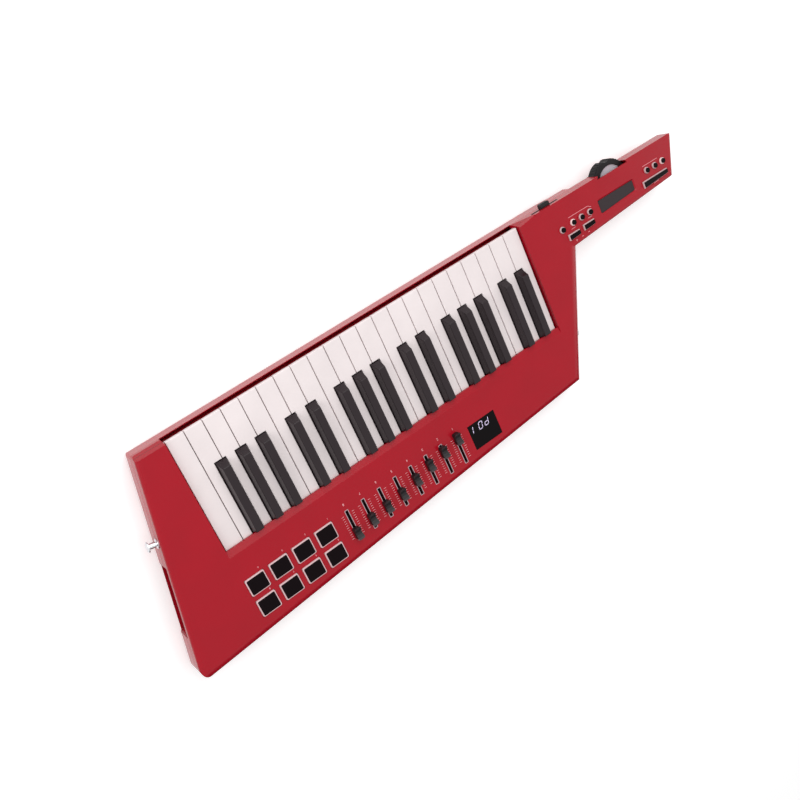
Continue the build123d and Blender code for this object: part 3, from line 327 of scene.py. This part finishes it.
# The two lit buttons' places, and how far the light reaches round them.
LIT_BUTTONS = ((-81.4, -109.4), (-257.8, -116.6))
BUTTON_REACH = 5.5
finish, tree, shader, point = new_finish(
    "two_shot_silicone", MILKY, 0.45, 0.4, 0.15, Specular_IOR_Level=0.05
)
split = add(tree, "SeparateXYZ", {0: point})
on_neck = add(tree, "Math", {0: split.outputs[0], 1: at(0, 0, 0).x}, operation="LESS_THAN").outputs[0]
level = add(
    tree, "MapRange",
    {"Value": on_neck, "To Min": at(0, 0, PAD_BASE).z, "To Max": at(0, 0, BUTTON_BASE).z},
)
black = add(tree, "Math", {0: split.outputs[2], 1: level.outputs[0]}, operation="GREATER_THAN")
recolour(tree, shader, black.outputs[0], BLACK_TOP)
near = []
for x, y in LIT_BUTTONS:
    far = add(tree, "VectorMath", {0: point, 1: at(x, y, PANEL_TOP)}, operation="DISTANCE")
    near.append(add(tree, "Math", {0: far.outputs["Value"], 1: BUTTON_REACH * MM}, operation="LESS_THAN"))
lit = add(tree, "Math", {0: near[0].outputs[0], 1: near[1].outputs[0]}, operation="ADD")
glow = add(tree, "Math", {0: lit.outputs[0], 1: black.outputs[0]}, operation="SUBTRACT", use_clamp=True)
tree.links.new(glow.outputs[0], shader.inputs["Emission Strength"])
shader.inputs["Emission Color"].default_value = linear("#8C7F7C")
wear("control_mats", finish)


# The display: a window of black acrylic, polished and pressed flush into the panel, with three
# lit digits, each drawn with up to seven strokes. They lie on the window, so that they show.
SMOOTH_UNDER = 30.0


def hand_over(obj, name, finish, body):
    """Ends a piece: its place goes into its mesh, and it gets its name, finish and body."""
    if bpy.context.mode != "OBJECT":
        bpy.ops.object.mode_set(mode="OBJECT")
    bpy.ops.object.transform_apply(location=True, rotation=True, scale=True)
    bpy.ops.object.shade_smooth_by_angle(angle=radians(SMOOTH_UNDER))
    obj.name = name
    obj.data.name = name
    if finish:
        obj.data.materials.clear()
        obj.data.materials.append(finish)
    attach(obj, body)
    obj.select_set(False)
    return obj


def copied(obj, shift, name):
    """A copy of a handed-over piece, moved by shift, with its own mesh."""
    twin = obj.copy()
    twin.data = obj.data.copy()
    bpy.context.collection.objects.link(twin)
    for vertex in twin.data.vertices:
        vertex.co += shift
    twin.name = name
    twin.data.name = name
    return twin


def raised(thickness):
    """Gives the active flat piece its thickness, upwards."""
    bpy.ops.object.modifier_add(type="SOLIDIFY")
    solidify = bpy.context.object.modifiers[-1]
    solidify.thickness = thickness
    solidify.offset = 1.0
    bpy.ops.object.modifier_apply(modifier=solidify.name)


def joined(pieces):
    """Makes one object of several."""
    bpy.ops.object.select_all(action="DESELECT")
    for piece in pieces:
        piece.select_set(True)
    bpy.context.view_layer.objects.active = pieces[0]
    if len(pieces) > 1:
        bpy.ops.object.join()
    return bpy.context.object


finish, *_ = new_finish("polished_black_acrylic", "#0B0608", 0.07, 2.0, 0.01, Specular_IOR_Level=0.08)
wear("display_window", finish)

DIGIT_HEIGHT = 9.0
DIGIT_WIDTH = 5.6
STROKE = 1.2
STROKE_GAP = 0.3
DIGIT_SLANT = 12.0
DIGIT_PROUD = 0.06
DIGITS = {"P": (153.0, "abefg"), "0": (163.0, "abcdef"), "1": (172.9, "bc")}
DIGIT_Y = 53.2
# Each stroke's place across in digit widths, its place up in half heights, and its turn in degrees.
STROKES = {
    "a": (0, 1, 0), "b": (0.5, 0.5, 90), "c": (0.5, -0.5, 90), "d": (0, -1, 0),
    "e": (-0.5, -0.5, 90), "f": (-0.5, 0.5, 90), "g": (0, 0, 0),
}
lit_plastic, *_ = new_finish(
    "lit_digit_plastic", "#CFC2E0", 0.4, 0.8, 0.05, Emission_Color=linear("#D8C9EE"), Emission_Strength=0.3
)
strokes = []
for x, names in DIGITS.values():
    for across, up, turn in (STROKES[name] for name in names):
        length = DIGIT_WIDTH if turn == 0 else DIGIT_HEIGHT / 2
        lift = up * DIGIT_HEIGHT / 2
        place = at(x + across * DIGIT_WIDTH, DIGIT_Y + lift, PANEL_TOP)
        bpy.ops.object.select_all(action="DESELECT")
        bpy.ops.mesh.primitive_circle_add(
            vertices=6, radius=STROKE * MM / 2, fill_type="NGON",
            location=place, rotation=(0, 0, radians(turn)),
        )
        stroke = bpy.context.object
        # The hexagon is turned a quarter and pulled apart, which makes a stroke with pointed ends.
        reach = ((length - STROKE) / 2 - STROKE_GAP) * MM
        for vertex in stroke.data.vertices:
            vertex.co.xy = vertex.co.y, vertex.co.x
            vertex.co.x += reach if vertex.co.x > 0 else -reach
        stroke.data.flip_normals()
        strokes.append(stroke)
digits = joined(strokes)
hand_over(digits, "display_digits", lit_plastic, "casing")
bottom = at(0, DIGIT_Y, 0).y
for vertex in digits.data.vertices:
    vertex.co.x += (vertex.co.y - bottom) * tan(radians(DIGIT_SLANT))
digits.select_set(True)
bpy.context.view_layer.objects.active = digits
raised(DIGIT_PROUD * MM)


# The print on the panel: pale ink, silk-screened, so it stands a trace above the plastic. Here
# it makes the drum pads' numerals, and further on the faders' scales and the neck's brackets.
ink, *_ = new_finish("screen_printed_ink", "#F3B6BB", 0.45, 0.25, 0.15)
INK_PROUD = 0.03
NUMERAL = 3.1


def numeral(text, x, y, size):
    """A printed figure, set out round a point."""
    bpy.ops.object.select_all(action="DESELECT")
    bpy.ops.object.text_add(location=at(x, y, PANEL_TOP))
    figure = bpy.context.object
    figure.data.body = text
    figure.data.size = size * MM
    figure.data.align_x = "CENTER"
    figure.data.align_y = "CENTER"
    bpy.ops.object.convert(target="MESH")
    raised(INK_PROUD * MM)
    return bpy.context.object


def line(x0, y0, x1, y1, width):
    """A printed stroke between two points, with slightly rounded corners."""
    bpy.ops.object.select_all(action="DESELECT")
    middle = at((x0 + x1) / 2, (y0 + y1) / 2, PANEL_TOP)
    turn = atan2(y1 - y0, x1 - x0)
    bpy.ops.mesh.primitive_plane_add(size=MM, location=middle, rotation=(0, 0, turn))
    stroke = bpy.context.object
    stroke.scale = (((x1 - x0) ** 2 + (y1 - y0) ** 2) ** 0.5 + width, width, 1)
    bpy.ops.object.transform_apply(location=False, rotation=False, scale=True)
    bpy.ops.object.mode_set(mode="EDIT")
    bpy.ops.mesh.select_all(action="SELECT")
    bpy.ops.mesh.bevel(offset=width * MM / 4, segments=2, affect="VERTICES")
    bpy.ops.object.mode_set(mode="OBJECT")
    raised(INK_PROUD * MM)
    return bpy.context.object


PAD_X = (398.4, 430.9, 463.4, 496.9)
PAD_NUMERAL_Y = (38.4, 68.8)
pad_figures = [
    numeral(str(row * len(PAD_X) + column + 1), x, y, NUMERAL)
    for row, y in enumerate(PAD_NUMERAL_Y)
    for column, x in enumerate(PAD_X)
]
hand_over(joined(pad_figures), "pad_numerals", ink, "casing")


# The faders: eight slide pots under eight slots. Each slot has a black frame, painted shadow that
# widens the slot's dark, in a pale rim, a painted highlight for the lit wall of its recess, felt lips
# against dust and a printed scale on both sides. Each cap is grained ABS, pressed onto the pot's blade, and
# its waist is painted darker as painted shade.
CAP_VALLEY = 13.3
finish, tree, shader, point = new_finish(
    "grained_grey_abs", "#352B2E", 0.42, 0.4, 0.3, Specular_IOR_Level=0.3
)
# Below the height of the valley between its lobes the cap is painted darker: painted shade in its waist.
z = add(tree, "SeparateXYZ", {0: point}).outputs[2]
painted_shade_waist = add(tree, "Math", {0: z, 1: at(0, 0, CAP_VALLEY).z}, operation="LESS_THAN")
recolour(tree, shader, painted_shade_waist.outputs[0], "#1C1719")
faders = sorted(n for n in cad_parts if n.startswith("fader_"))
for node in faders:
    wear(node, finish)

SLOT_START = 44.5
SLOT_LENGTH = 39.5
SLOT_WIDTH = 2.6
SHADOW_FRAME_WIDTH = 0.6
SHADOW_FRAME_PROUD = 0.1
SHADOW_FRAME_CORNER = 0.5
RIM_WIDTH = 0.8
RIM_PROUD = 0.2
RIM_CORNER = 0.9
# The pale rim is a painted highlight for the lit wall of the slot's recess, and the black frame inside it
# is painted shadow that widens the slot's dark.
highlight_rim_paint, *_ = new_finish("painted_highlight_pale_grey", "#BBA2A7", 0.4, 0.4, 0.15)
shadow_frame_paint, *_ = new_finish("painted_slot_shadow_black", "#120E10", 0.4, 0.4, 0.15, Specular_IOR_Level=0.2)
felt, *_ = new_finish("punched_black_felt", "#0B0809", 0.9, 0.25, 0.8, Specular_IOR_Level=0.1)
fader_x = [sum(end.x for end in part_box(node)) / 2 for node in faders]


def framed(place, size, border, corner, thickness, turn=0):
    """A flat four-sided frame round a hole, with rounded corners, facing up or, turned, forward."""
    bpy.ops.object.select_all(action="DESELECT")
    bpy.ops.mesh.primitive_plane_add(size=MM)
    frame_piece = bpy.context.object
    frame_piece.scale = (size[0] + 2 * border, size[1] + 2 * border, 1)
    bpy.ops.object.transform_apply(location=False, rotation=False, scale=True)
    bpy.ops.object.mode_set(mode="EDIT")
    bpy.ops.mesh.select_all(action="SELECT")
    bpy.ops.mesh.bevel(offset=corner * MM, segments=4, affect="VERTICES")
    bpy.ops.mesh.select_mode(type="FACE")
    bpy.ops.mesh.select_all(action="SELECT")
    bpy.ops.mesh.inset(thickness=border * MM)
    bpy.ops.mesh.delete(type="FACE")
    bpy.ops.mesh.select_all(action="SELECT")
    bpy.ops.mesh.extrude_region_move(TRANSFORM_OT_translate={"value": (0, 0, -thickness * MM)})
    bpy.ops.mesh.select_all(action="SELECT")
    bpy.ops.mesh.normals_make_consistent(inside=False)
    bpy.ops.object.mode_set(mode="OBJECT")
    frame_piece.location = place
    frame_piece.rotation_euler.x = turn
    return frame_piece


LIP_WIDTH = 0.56
LIP_UNDER = 0.35
LIP_THICK = 0.4
LIP_CORNER = 0.2
middle = at(0, SLOT_START + SLOT_LENGTH / 2, PANEL_TOP)
shadow_frame = framed(
    (fader_x[0], middle.y, middle.z + SHADOW_FRAME_PROUD * MM),
    (SLOT_WIDTH, SLOT_LENGTH), SHADOW_FRAME_WIDTH, SHADOW_FRAME_CORNER, SHADOW_FRAME_PROUD,
)
hand_over(shadow_frame, "fader_shadow_frame_1", shadow_frame_paint, "casing")
rim = framed(
    (fader_x[0], middle.y, middle.z + RIM_PROUD * MM),
    (SLOT_WIDTH + 2 * SHADOW_FRAME_WIDTH, SLOT_LENGTH + 2 * SHADOW_FRAME_WIDTH), RIM_WIDTH, RIM_CORNER, RIM_PROUD,
)
hand_over(rim, "fader_highlight_rim_1", highlight_rim_paint, "casing")
lips = framed(
    (fader_x[0], middle.y, middle.z - LIP_UNDER * MM),
    (SLOT_WIDTH - 2 * LIP_WIDTH, SLOT_LENGTH - 2 * LIP_WIDTH), LIP_WIDTH, LIP_CORNER, LIP_THICK,
)
hand_over(lips, "fader_lips_1", felt, "casing")
for number, x in enumerate(fader_x[1:], 2):
    shift = Vector((x - fader_x[0], 0, 0))
    copied(shadow_frame, shift, f"fader_shadow_frame_{number}")
    copied(rim, shift, f"fader_highlight_rim_{number}")
    copied(lips, shift, f"fader_lips_{number}")

MARKS = 11
MARK_START = 48.6
MARK_PITCH = 3.11
MARK_LENGTH = 2.4
MARK_EXTRA = 0.5
MARK_WIDTH = 0.42
MARK_OFF = 7.3
marks = []
first_x = (fader_x[0] - at(0, 0, 0).x) / MM
for side in (-1, 1):
    for i in range(MARKS):
        extra = MARK_EXTRA if i in (0, MARKS // 2, MARKS - 1) else 0.0
        inner, outer = MARK_OFF - MARK_LENGTH / 2, MARK_OFF + MARK_LENGTH / 2 + extra
        y = MARK_START + i * MARK_PITCH
        marks.append(line(first_x + side * inner, y, first_x + side * outer, y, MARK_WIDTH))
scale = hand_over(joined(marks), "fader_scale_1", ink, "casing")
for number, x in enumerate(fader_x[1:], 2):
    copied(scale, Vector((x - fader_x[0], 0, 0)), f"fader_scale_{number}")

FADER_NUMERAL_Y = 35.2
FADER_NUMERAL = 4.4
fader_figures = [
    numeral(str(number), (x - at(0, 0, 0).x) / MM, FADER_NUMERAL_Y, FADER_NUMERAL)
    for number, x in enumerate(fader_x, 1)
]
hand_over(joined(fader_figures), "fader_numerals", ink, "casing")


# The neck's controls: a bar key that is held down, moulded in black on a milky base, a touch strip
# of matt film in its bevelled recess, and printed brackets that group the round buttons.
finish, tree, shader, point = new_finish("two_shot_abs_bar", MILKY, 0.35, 0.4, 0.2, Specular_IOR_Level=0.08)
z = add(tree, "SeparateXYZ", {0: point}).outputs[2]
black = add(tree, "Math", {0: z, 1: at(0, 0, BUTTON_BASE).z}, operation="GREATER_THAN")
recolour(tree, shader, black.outputs[0], BLACK_TOP)
wear("hold_bar", finish)

finish, *_ = new_finish("matt_polyester_film", "#2F2528", 0.55, 0.3, 0.4, Specular_IOR_Level=0.25)
wear("ribbon_strip", finish)

BRACKET = 0.6
SIGN = 0.7
neck_lines = [
    line(-77.0, -117.9, -112.4, -117.7, BRACKET), line(-112.4, -117.7, -117.6, -114.6, BRACKET),
    line(-75.9, -102.2, -82.8, -102.2, BRACKET), line(-106.9, -103.1, -114.1, -103.1, BRACKET),
    line(-222.0, -123.8, -250.6, -123.8, BRACKET), line(-232.6, -95.1, -242.0, -95.6, BRACKET),
    line(-76.6, -85.7, -79.0, -85.7, SIGN), line(-77.8, -84.5, -77.8, -86.9, SIGN),
    line(-87.9, -86.3, -90.1, -86.3, SIGN), line(-99.8, -86.7, -102.0, -86.7, SIGN),
]
pink_ink, *_ = new_finish("screen_printed_pink_ink", "#F29AA2", 0.45, 0.25, 0.15)
hand_over(joined(neck_lines), "neck_marks", pink_ink, "casing")


# The slider in the front wall: a ridged black ABS cap on a pot's blade, which runs in a slot. Round
# the slot lies a black frame of the same plastic, painted shadow that widens the slot's dark line.
finish, *_ = new_finish("ridged_black_abs", "#141112", 0.4, 0.4, 0.25, Specular_IOR_Level=0.3)
wear("neck_slider", finish)
SLIDER_X = -53.0
SLIDER_Z = -1.8
SLIDER_SLOT = (44.0, 2.5)
SLIDER_FRAME = 0.9
SLIDER_FRAME_PROUD = 0.2
SLIDER_FRAME_CORNER = 0.8
SLIDER_FRAME_THICK = 2.0
FRONT_WALL = -145.0
# The black frame round the slot is painted shadow: it widens the slot's dark line in the wall.
slider_shadow_frame = framed(
    at(SLIDER_X, FRONT_WALL - SLIDER_FRAME_PROUD, SLIDER_Z),
    SLIDER_SLOT, SLIDER_FRAME, SLIDER_FRAME_CORNER, SLIDER_FRAME_THICK, pi / 2,
)
hand_over(slider_shadow_frame, "slider_shadow_frame", finish, "casing")


# The thumb wheel: a black rubber rim, ribbed and notched so that a thumb can turn it, moulded
# round a glossy pale hub. It turns on a post of the neck's tray and comes back to its middle.
WHEEL_X, WHEEL_Y = -171.0, -126.0
WHEEL_TOP = -0.4
WHEEL_THICK = 16.0
WHEEL_RADIUS = 30.35
WHEEL_EDGE = 1.1
RIB = 0.65
RIBS = 44
RIB_MARGIN = 2.2
RIM_BAND = 7.6
HUB_SUNK = 1.2
# The hub's face, from outside in: how far each ring lies inside the last, and how far it rises.
HUB_STEPS = ((0.8, -0.3), (5.0, -0.6), (5.5, 0.0), (0.6, 1.0))
# A face this near to the outside counts as outermost.
SKIN = 0.01
rubber, *_ = new_finish("ribbed_black_rubber", "#120E10", 0.45, 0.4, 0.3, Specular_IOR_Level=0.2)
hub_plastic, *_ = new_finish("gloss_moulded_grey_abs", "#C9C4CC", 0.12, 0.8, 0.05, Coat_Weight=0.6)


def choose(obj, test):
    """In edit mode, selects the faces whose middle and normal pass the test."""
    bpy.ops.mesh.select_mode(type="FACE")
    bpy.ops.mesh.select_all(action="DESELECT")
    bpy.ops.object.mode_set(mode="OBJECT")
    for face in obj.data.polygons:
        face.select = test(face.center, face.normal)
    bpy.ops.object.mode_set(mode="EDIT")


bpy.ops.object.select_all(action="DESELECT")
bpy.ops.mesh.primitive_cylinder_add(
    vertices=4 * RIBS, radius=WHEEL_RADIUS * MM, depth=WHEEL_THICK * MM,
    location=at(WHEEL_X, WHEEL_Y, WHEEL_TOP - WHEEL_THICK / 2),
)
wheel = bpy.context.object
wheel.data.materials.append(rubber)
wheel.data.materials.append(hub_plastic)
bpy.ops.object.mode_set(mode="EDIT")
half = WHEEL_THICK * MM / 2
band = half - RIB_MARGIN * MM
for height in (band, -band):
    bpy.ops.mesh.select_all(action="SELECT")
    bpy.ops.mesh.bisect(plane_co=wheel.location + Vector((0, 0, height)), plane_no=(0, 0, 1))


def on_rib(centre, normal):
    """Every second pair of the middle band's facets."""
    step = int((atan2(centre.y, centre.x) % (2 * pi)) / (2 * pi) * 4 * RIBS)
    return abs(normal.z) < 0.1 and abs(centre.z) < band and step % 4 < 2


choose(wheel, on_rib)
bpy.ops.mesh.extrude_region_move()
bpy.ops.transform.shrink_fatten(value=RIB * MM)
for side in (1, -1):
    choose(wheel, lambda centre, normal: normal.z * side > 0.9 and abs(centre.z) > half - SKIN * MM)
    bpy.ops.mesh.bevel(offset=WHEEL_EDGE * MM, segments=3)
choose(wheel, lambda centre, normal: normal.z > 0.9 and centre.z > half - SKIN * MM)
bpy.ops.mesh.inset(thickness=(RIM_BAND - WHEEL_EDGE) * MM)
bpy.ops.mesh.extrude_region_move(TRANSFORM_OT_translate={"value": (0, 0, -HUB_SUNK * MM)})
wheel.active_material_index = 1
bpy.ops.object.material_slot_assign()
for inset, rise in HUB_STEPS:
    bpy.ops.mesh.inset(thickness=inset * MM)
    bpy.ops.transform.translate(value=(0, 0, rise * MM))
bpy.ops.object.mode_set(mode="OBJECT")



def cut(piece, cutter):
    """Cuts the shape of one object out of a piece, and removes it."""
    bpy.ops.object.select_all(action="DESELECT")
    piece.select_set(True)
    bpy.context.view_layer.objects.active = piece
    bpy.ops.object.modifier_add(type="BOOLEAN")
    boolean = piece.modifiers[-1]
    boolean.operation = "DIFFERENCE"
    boolean.solver = "EXACT"
    boolean.object = cutter
    bpy.ops.object.modifier_apply(modifier=boolean.name)
    bpy.data.objects.remove(cutter)


NOTCH = 9.0
NOTCH_DEPTH = 2.6
BORE = 4.05
cutters = []
for shift, radius in ((-WHEEL_RADIUS - NOTCH + NOTCH_DEPTH, NOTCH), (0.0, BORE)):
    bpy.ops.object.select_all(action="DESELECT")
    bpy.ops.mesh.primitive_cylinder_add(
        vertices=64, radius=radius * MM, depth=3 * WHEEL_THICK * MM,
        location=wheel.location + Vector((0, shift * MM, 0)),
    )
    cutters.append(bpy.context.object)
cut(wheel, joined(cutters))
hand_over(wheel, "thumb_wheel", None, "pitch_wheel")
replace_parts(wheel, "pitch_wheel")


# The strap pegs: steel, turned, polished and chrome plated, so they mirror the room. Each is
# screwed into an end wall.
finish, *_ = new_finish("polished_chrome_plate", "#D5D5D8", 0.12, 1.5, 0.02, Metallic=1.0)
wear("strap_pegs", finish)


# The case screws: blackened steel, cold headed with a cross recess, sunk in the back so that it
# lies flat. Each holds the lower casing to a boss of the upper one.
SCREW_HEAD = 3.0
HEAD_THICK = 2.4
HEAD_EDGE = 0.6
SEAT_Z = -20.0
SHANK = 1.5
SHANK_LENGTH = 12.0
TIP_LENGTH = 1.5
TIP_SHARE = 0.2
CROSS_ARM = (3.2, 0.8, 2.6)
NECK_TIP = -289.6
TREBLE_KEY_END = 518.571
# The neck's three, then round the body.
SCREWS = [
    (NECK_TIP + 17.5, FRONT_WALL + 15), (WHEEL_X - 44, FRONT_WALL + 14), (WHEEL_X + 61, FRONT_WALL + 14),
    (-14.5, -60), (-6, 58), (110, 78), (TREBLE_KEY_END - 258.6, 94), (TREBLE_KEY_END - 133.6, 98),
    (TREBLE_KEY_END + 11.4, 104), (TREBLE_KEY_END + 16.4, 10), (TREBLE_KEY_END + 19.4, -122),
    (TREBLE_KEY_END + 70, 98),
]
steel, *_ = new_finish("blackened_steel", "#4A4A4C", 0.35, 0.4, 0.2, Metallic=1.0)
bpy.ops.object.select_all(action="DESELECT")
bpy.ops.mesh.primitive_cylinder_add(
    vertices=48, radius=SCREW_HEAD * MM, depth=HEAD_THICK * MM,
    location=at(*SCREWS[0], SEAT_Z - HEAD_THICK / 2),
)
screw = bpy.context.object
bpy.ops.object.mode_set(mode="EDIT")
choose(screw, lambda centre, normal: normal.z < -0.9)
bpy.ops.mesh.bevel(offset=HEAD_EDGE * MM, segments=4)
choose(screw, lambda centre, normal: normal.z > 0.9)
bpy.ops.mesh.inset(thickness=(SCREW_HEAD - SHANK) * MM)
for length in (SHANK_LENGTH - TIP_LENGTH, TIP_LENGTH):
    bpy.ops.mesh.extrude_region_move(TRANSFORM_OT_translate={"value": (0, 0, length * MM)})
bpy.ops.transform.resize(value=(TIP_SHARE, TIP_SHARE, 1.0))
bpy.ops.object.mode_set(mode="OBJECT")
arms = []
for turn in (0, 90):
    bpy.ops.object.select_all(action="DESELECT")
    bpy.ops.mesh.primitive_cube_add(
        size=MM, location=at(*SCREWS[0], SEAT_Z - HEAD_THICK), rotation=(0, 0, radians(turn))
    )
    bpy.context.object.scale = CROSS_ARM
    arms.append(bpy.context.object)
for arm in arms:
    cut(screw, arm)
hand_over(screw, "case_screw_1", steel, "casing")
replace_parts(screw, "screws")
for number, (x, y) in enumerate(SCREWS[1:], 2):
    shift = at(x, y, 0) - at(*SCREWS[0], 0)
    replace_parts(copied(screw, shift, f"case_screw_{number}"), "screws")


# The sockets' fittings: a nickel-plated nut round the pedal jack, a black insert with five pin
# holes in the round data socket, and a tongue in the square one.
nickel, *_ = new_finish("plated_nickel", "#B8B4A8", 0.2, 0.6, 0.05, Metallic=1.0)
insert_plastic, *_ = new_finish("moulded_black_nylon", "#0E0E0F", 0.5, 0.4, 0.2)
SOCKET_Z = -23.5
JACK_Y = 50.0
DATA_Y = 26.0
SQUARE_Y = 0.0
JACK_BORE = 3.3
NUT = 6.4
NUT_THICK = 1.8
CHAMFER = 0.4
socket_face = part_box("socket_board")[1].x


def socket_place(y, out):
    """A place on a socket's axis, out from its face by that many millimetres."""
    place = at(0, y, SOCKET_Z)
    return Vector((socket_face + out * MM, place.y, place.z))


bpy.ops.object.select_all(action="DESELECT")
bpy.ops.mesh.primitive_cylinder_add(
    vertices=48, radius=NUT * MM, depth=NUT_THICK * MM,
    location=socket_place(JACK_Y, NUT_THICK / 2), rotation=(0, pi / 2, 0),
)
nut = bpy.context.object
bpy.ops.object.mode_set(mode="EDIT")
choose(nut, lambda centre, normal: abs(normal.z) > 0.9)
bpy.ops.mesh.bevel(offset=CHAMFER * MM, segments=2)
choose(nut, lambda centre, normal: abs(normal.z) > 0.9 and abs(centre.z) > (NUT_THICK / 2 - SKIN) * MM)
bpy.ops.mesh.inset(thickness=(NUT - CHAMFER - JACK_BORE) * MM)
bpy.ops.mesh.bridge_edge_loops()
bpy.ops.mesh.select_all(action="SELECT")
bpy.ops.mesh.normals_make_consistent(inside=False)
hand_over(nut, "pedal_jack_nut", nickel, "casing")

INSERT = 6.4
INSERT_THICK = 3.0
INSERT_DEEP = 8.9
PINS = 5
PIN_STEP = 45
PIN_CIRCLE = 4.0
PIN_HOLE = 0.85
PIN_CUT = 4.0
bpy.ops.object.select_all(action="DESELECT")
bpy.ops.mesh.primitive_cylinder_add(
    vertices=64, radius=INSERT * MM, depth=INSERT_THICK * MM,
    location=socket_place(DATA_Y, INSERT_THICK / 2 - INSERT_DEEP), rotation=(0, pi / 2, 0),
)
insert = bpy.context.object
holes = []
for step in range(PINS):
    angle = radians(PIN_STEP * (step - PINS // 2))
    bpy.ops.object.select_all(action="DESELECT")
    place = socket_place(DATA_Y, -INSERT_DEEP + INSERT_THICK)
    place += Vector((0, sin(angle), -cos(angle))) * PIN_CIRCLE * MM
    bpy.ops.mesh.primitive_cylinder_add(
        vertices=20, radius=PIN_HOLE * MM, depth=PIN_CUT * MM, location=place, rotation=(0, pi / 2, 0)
    )
    holes.append(bpy.context.object)
cut(insert, joined(holes))
hand_over(insert, "round_socket_insert", insert_plastic, "casing")

TONGUE = (8.0, 5.6, 3.2)
bpy.ops.object.select_all(action="DESELECT")
bpy.ops.mesh.primitive_cube_add(size=MM, location=socket_place(SQUARE_Y, TONGUE[0] / 2 - INSERT_DEEP))
tongue = bpy.context.object
tongue.scale = TONGUE
bpy.ops.object.transform_apply(location=False, rotation=False, scale=True)
bpy.ops.object.mode_set(mode="EDIT")
choose(tongue, lambda centre, normal: normal.x > 0.9)
bpy.ops.mesh.bevel(offset=CHAMFER * MM, segments=2)
bpy.ops.object.mode_set(mode="OBJECT")
hand_over(tongue, "square_socket_tongue", insert_plastic, "casing")
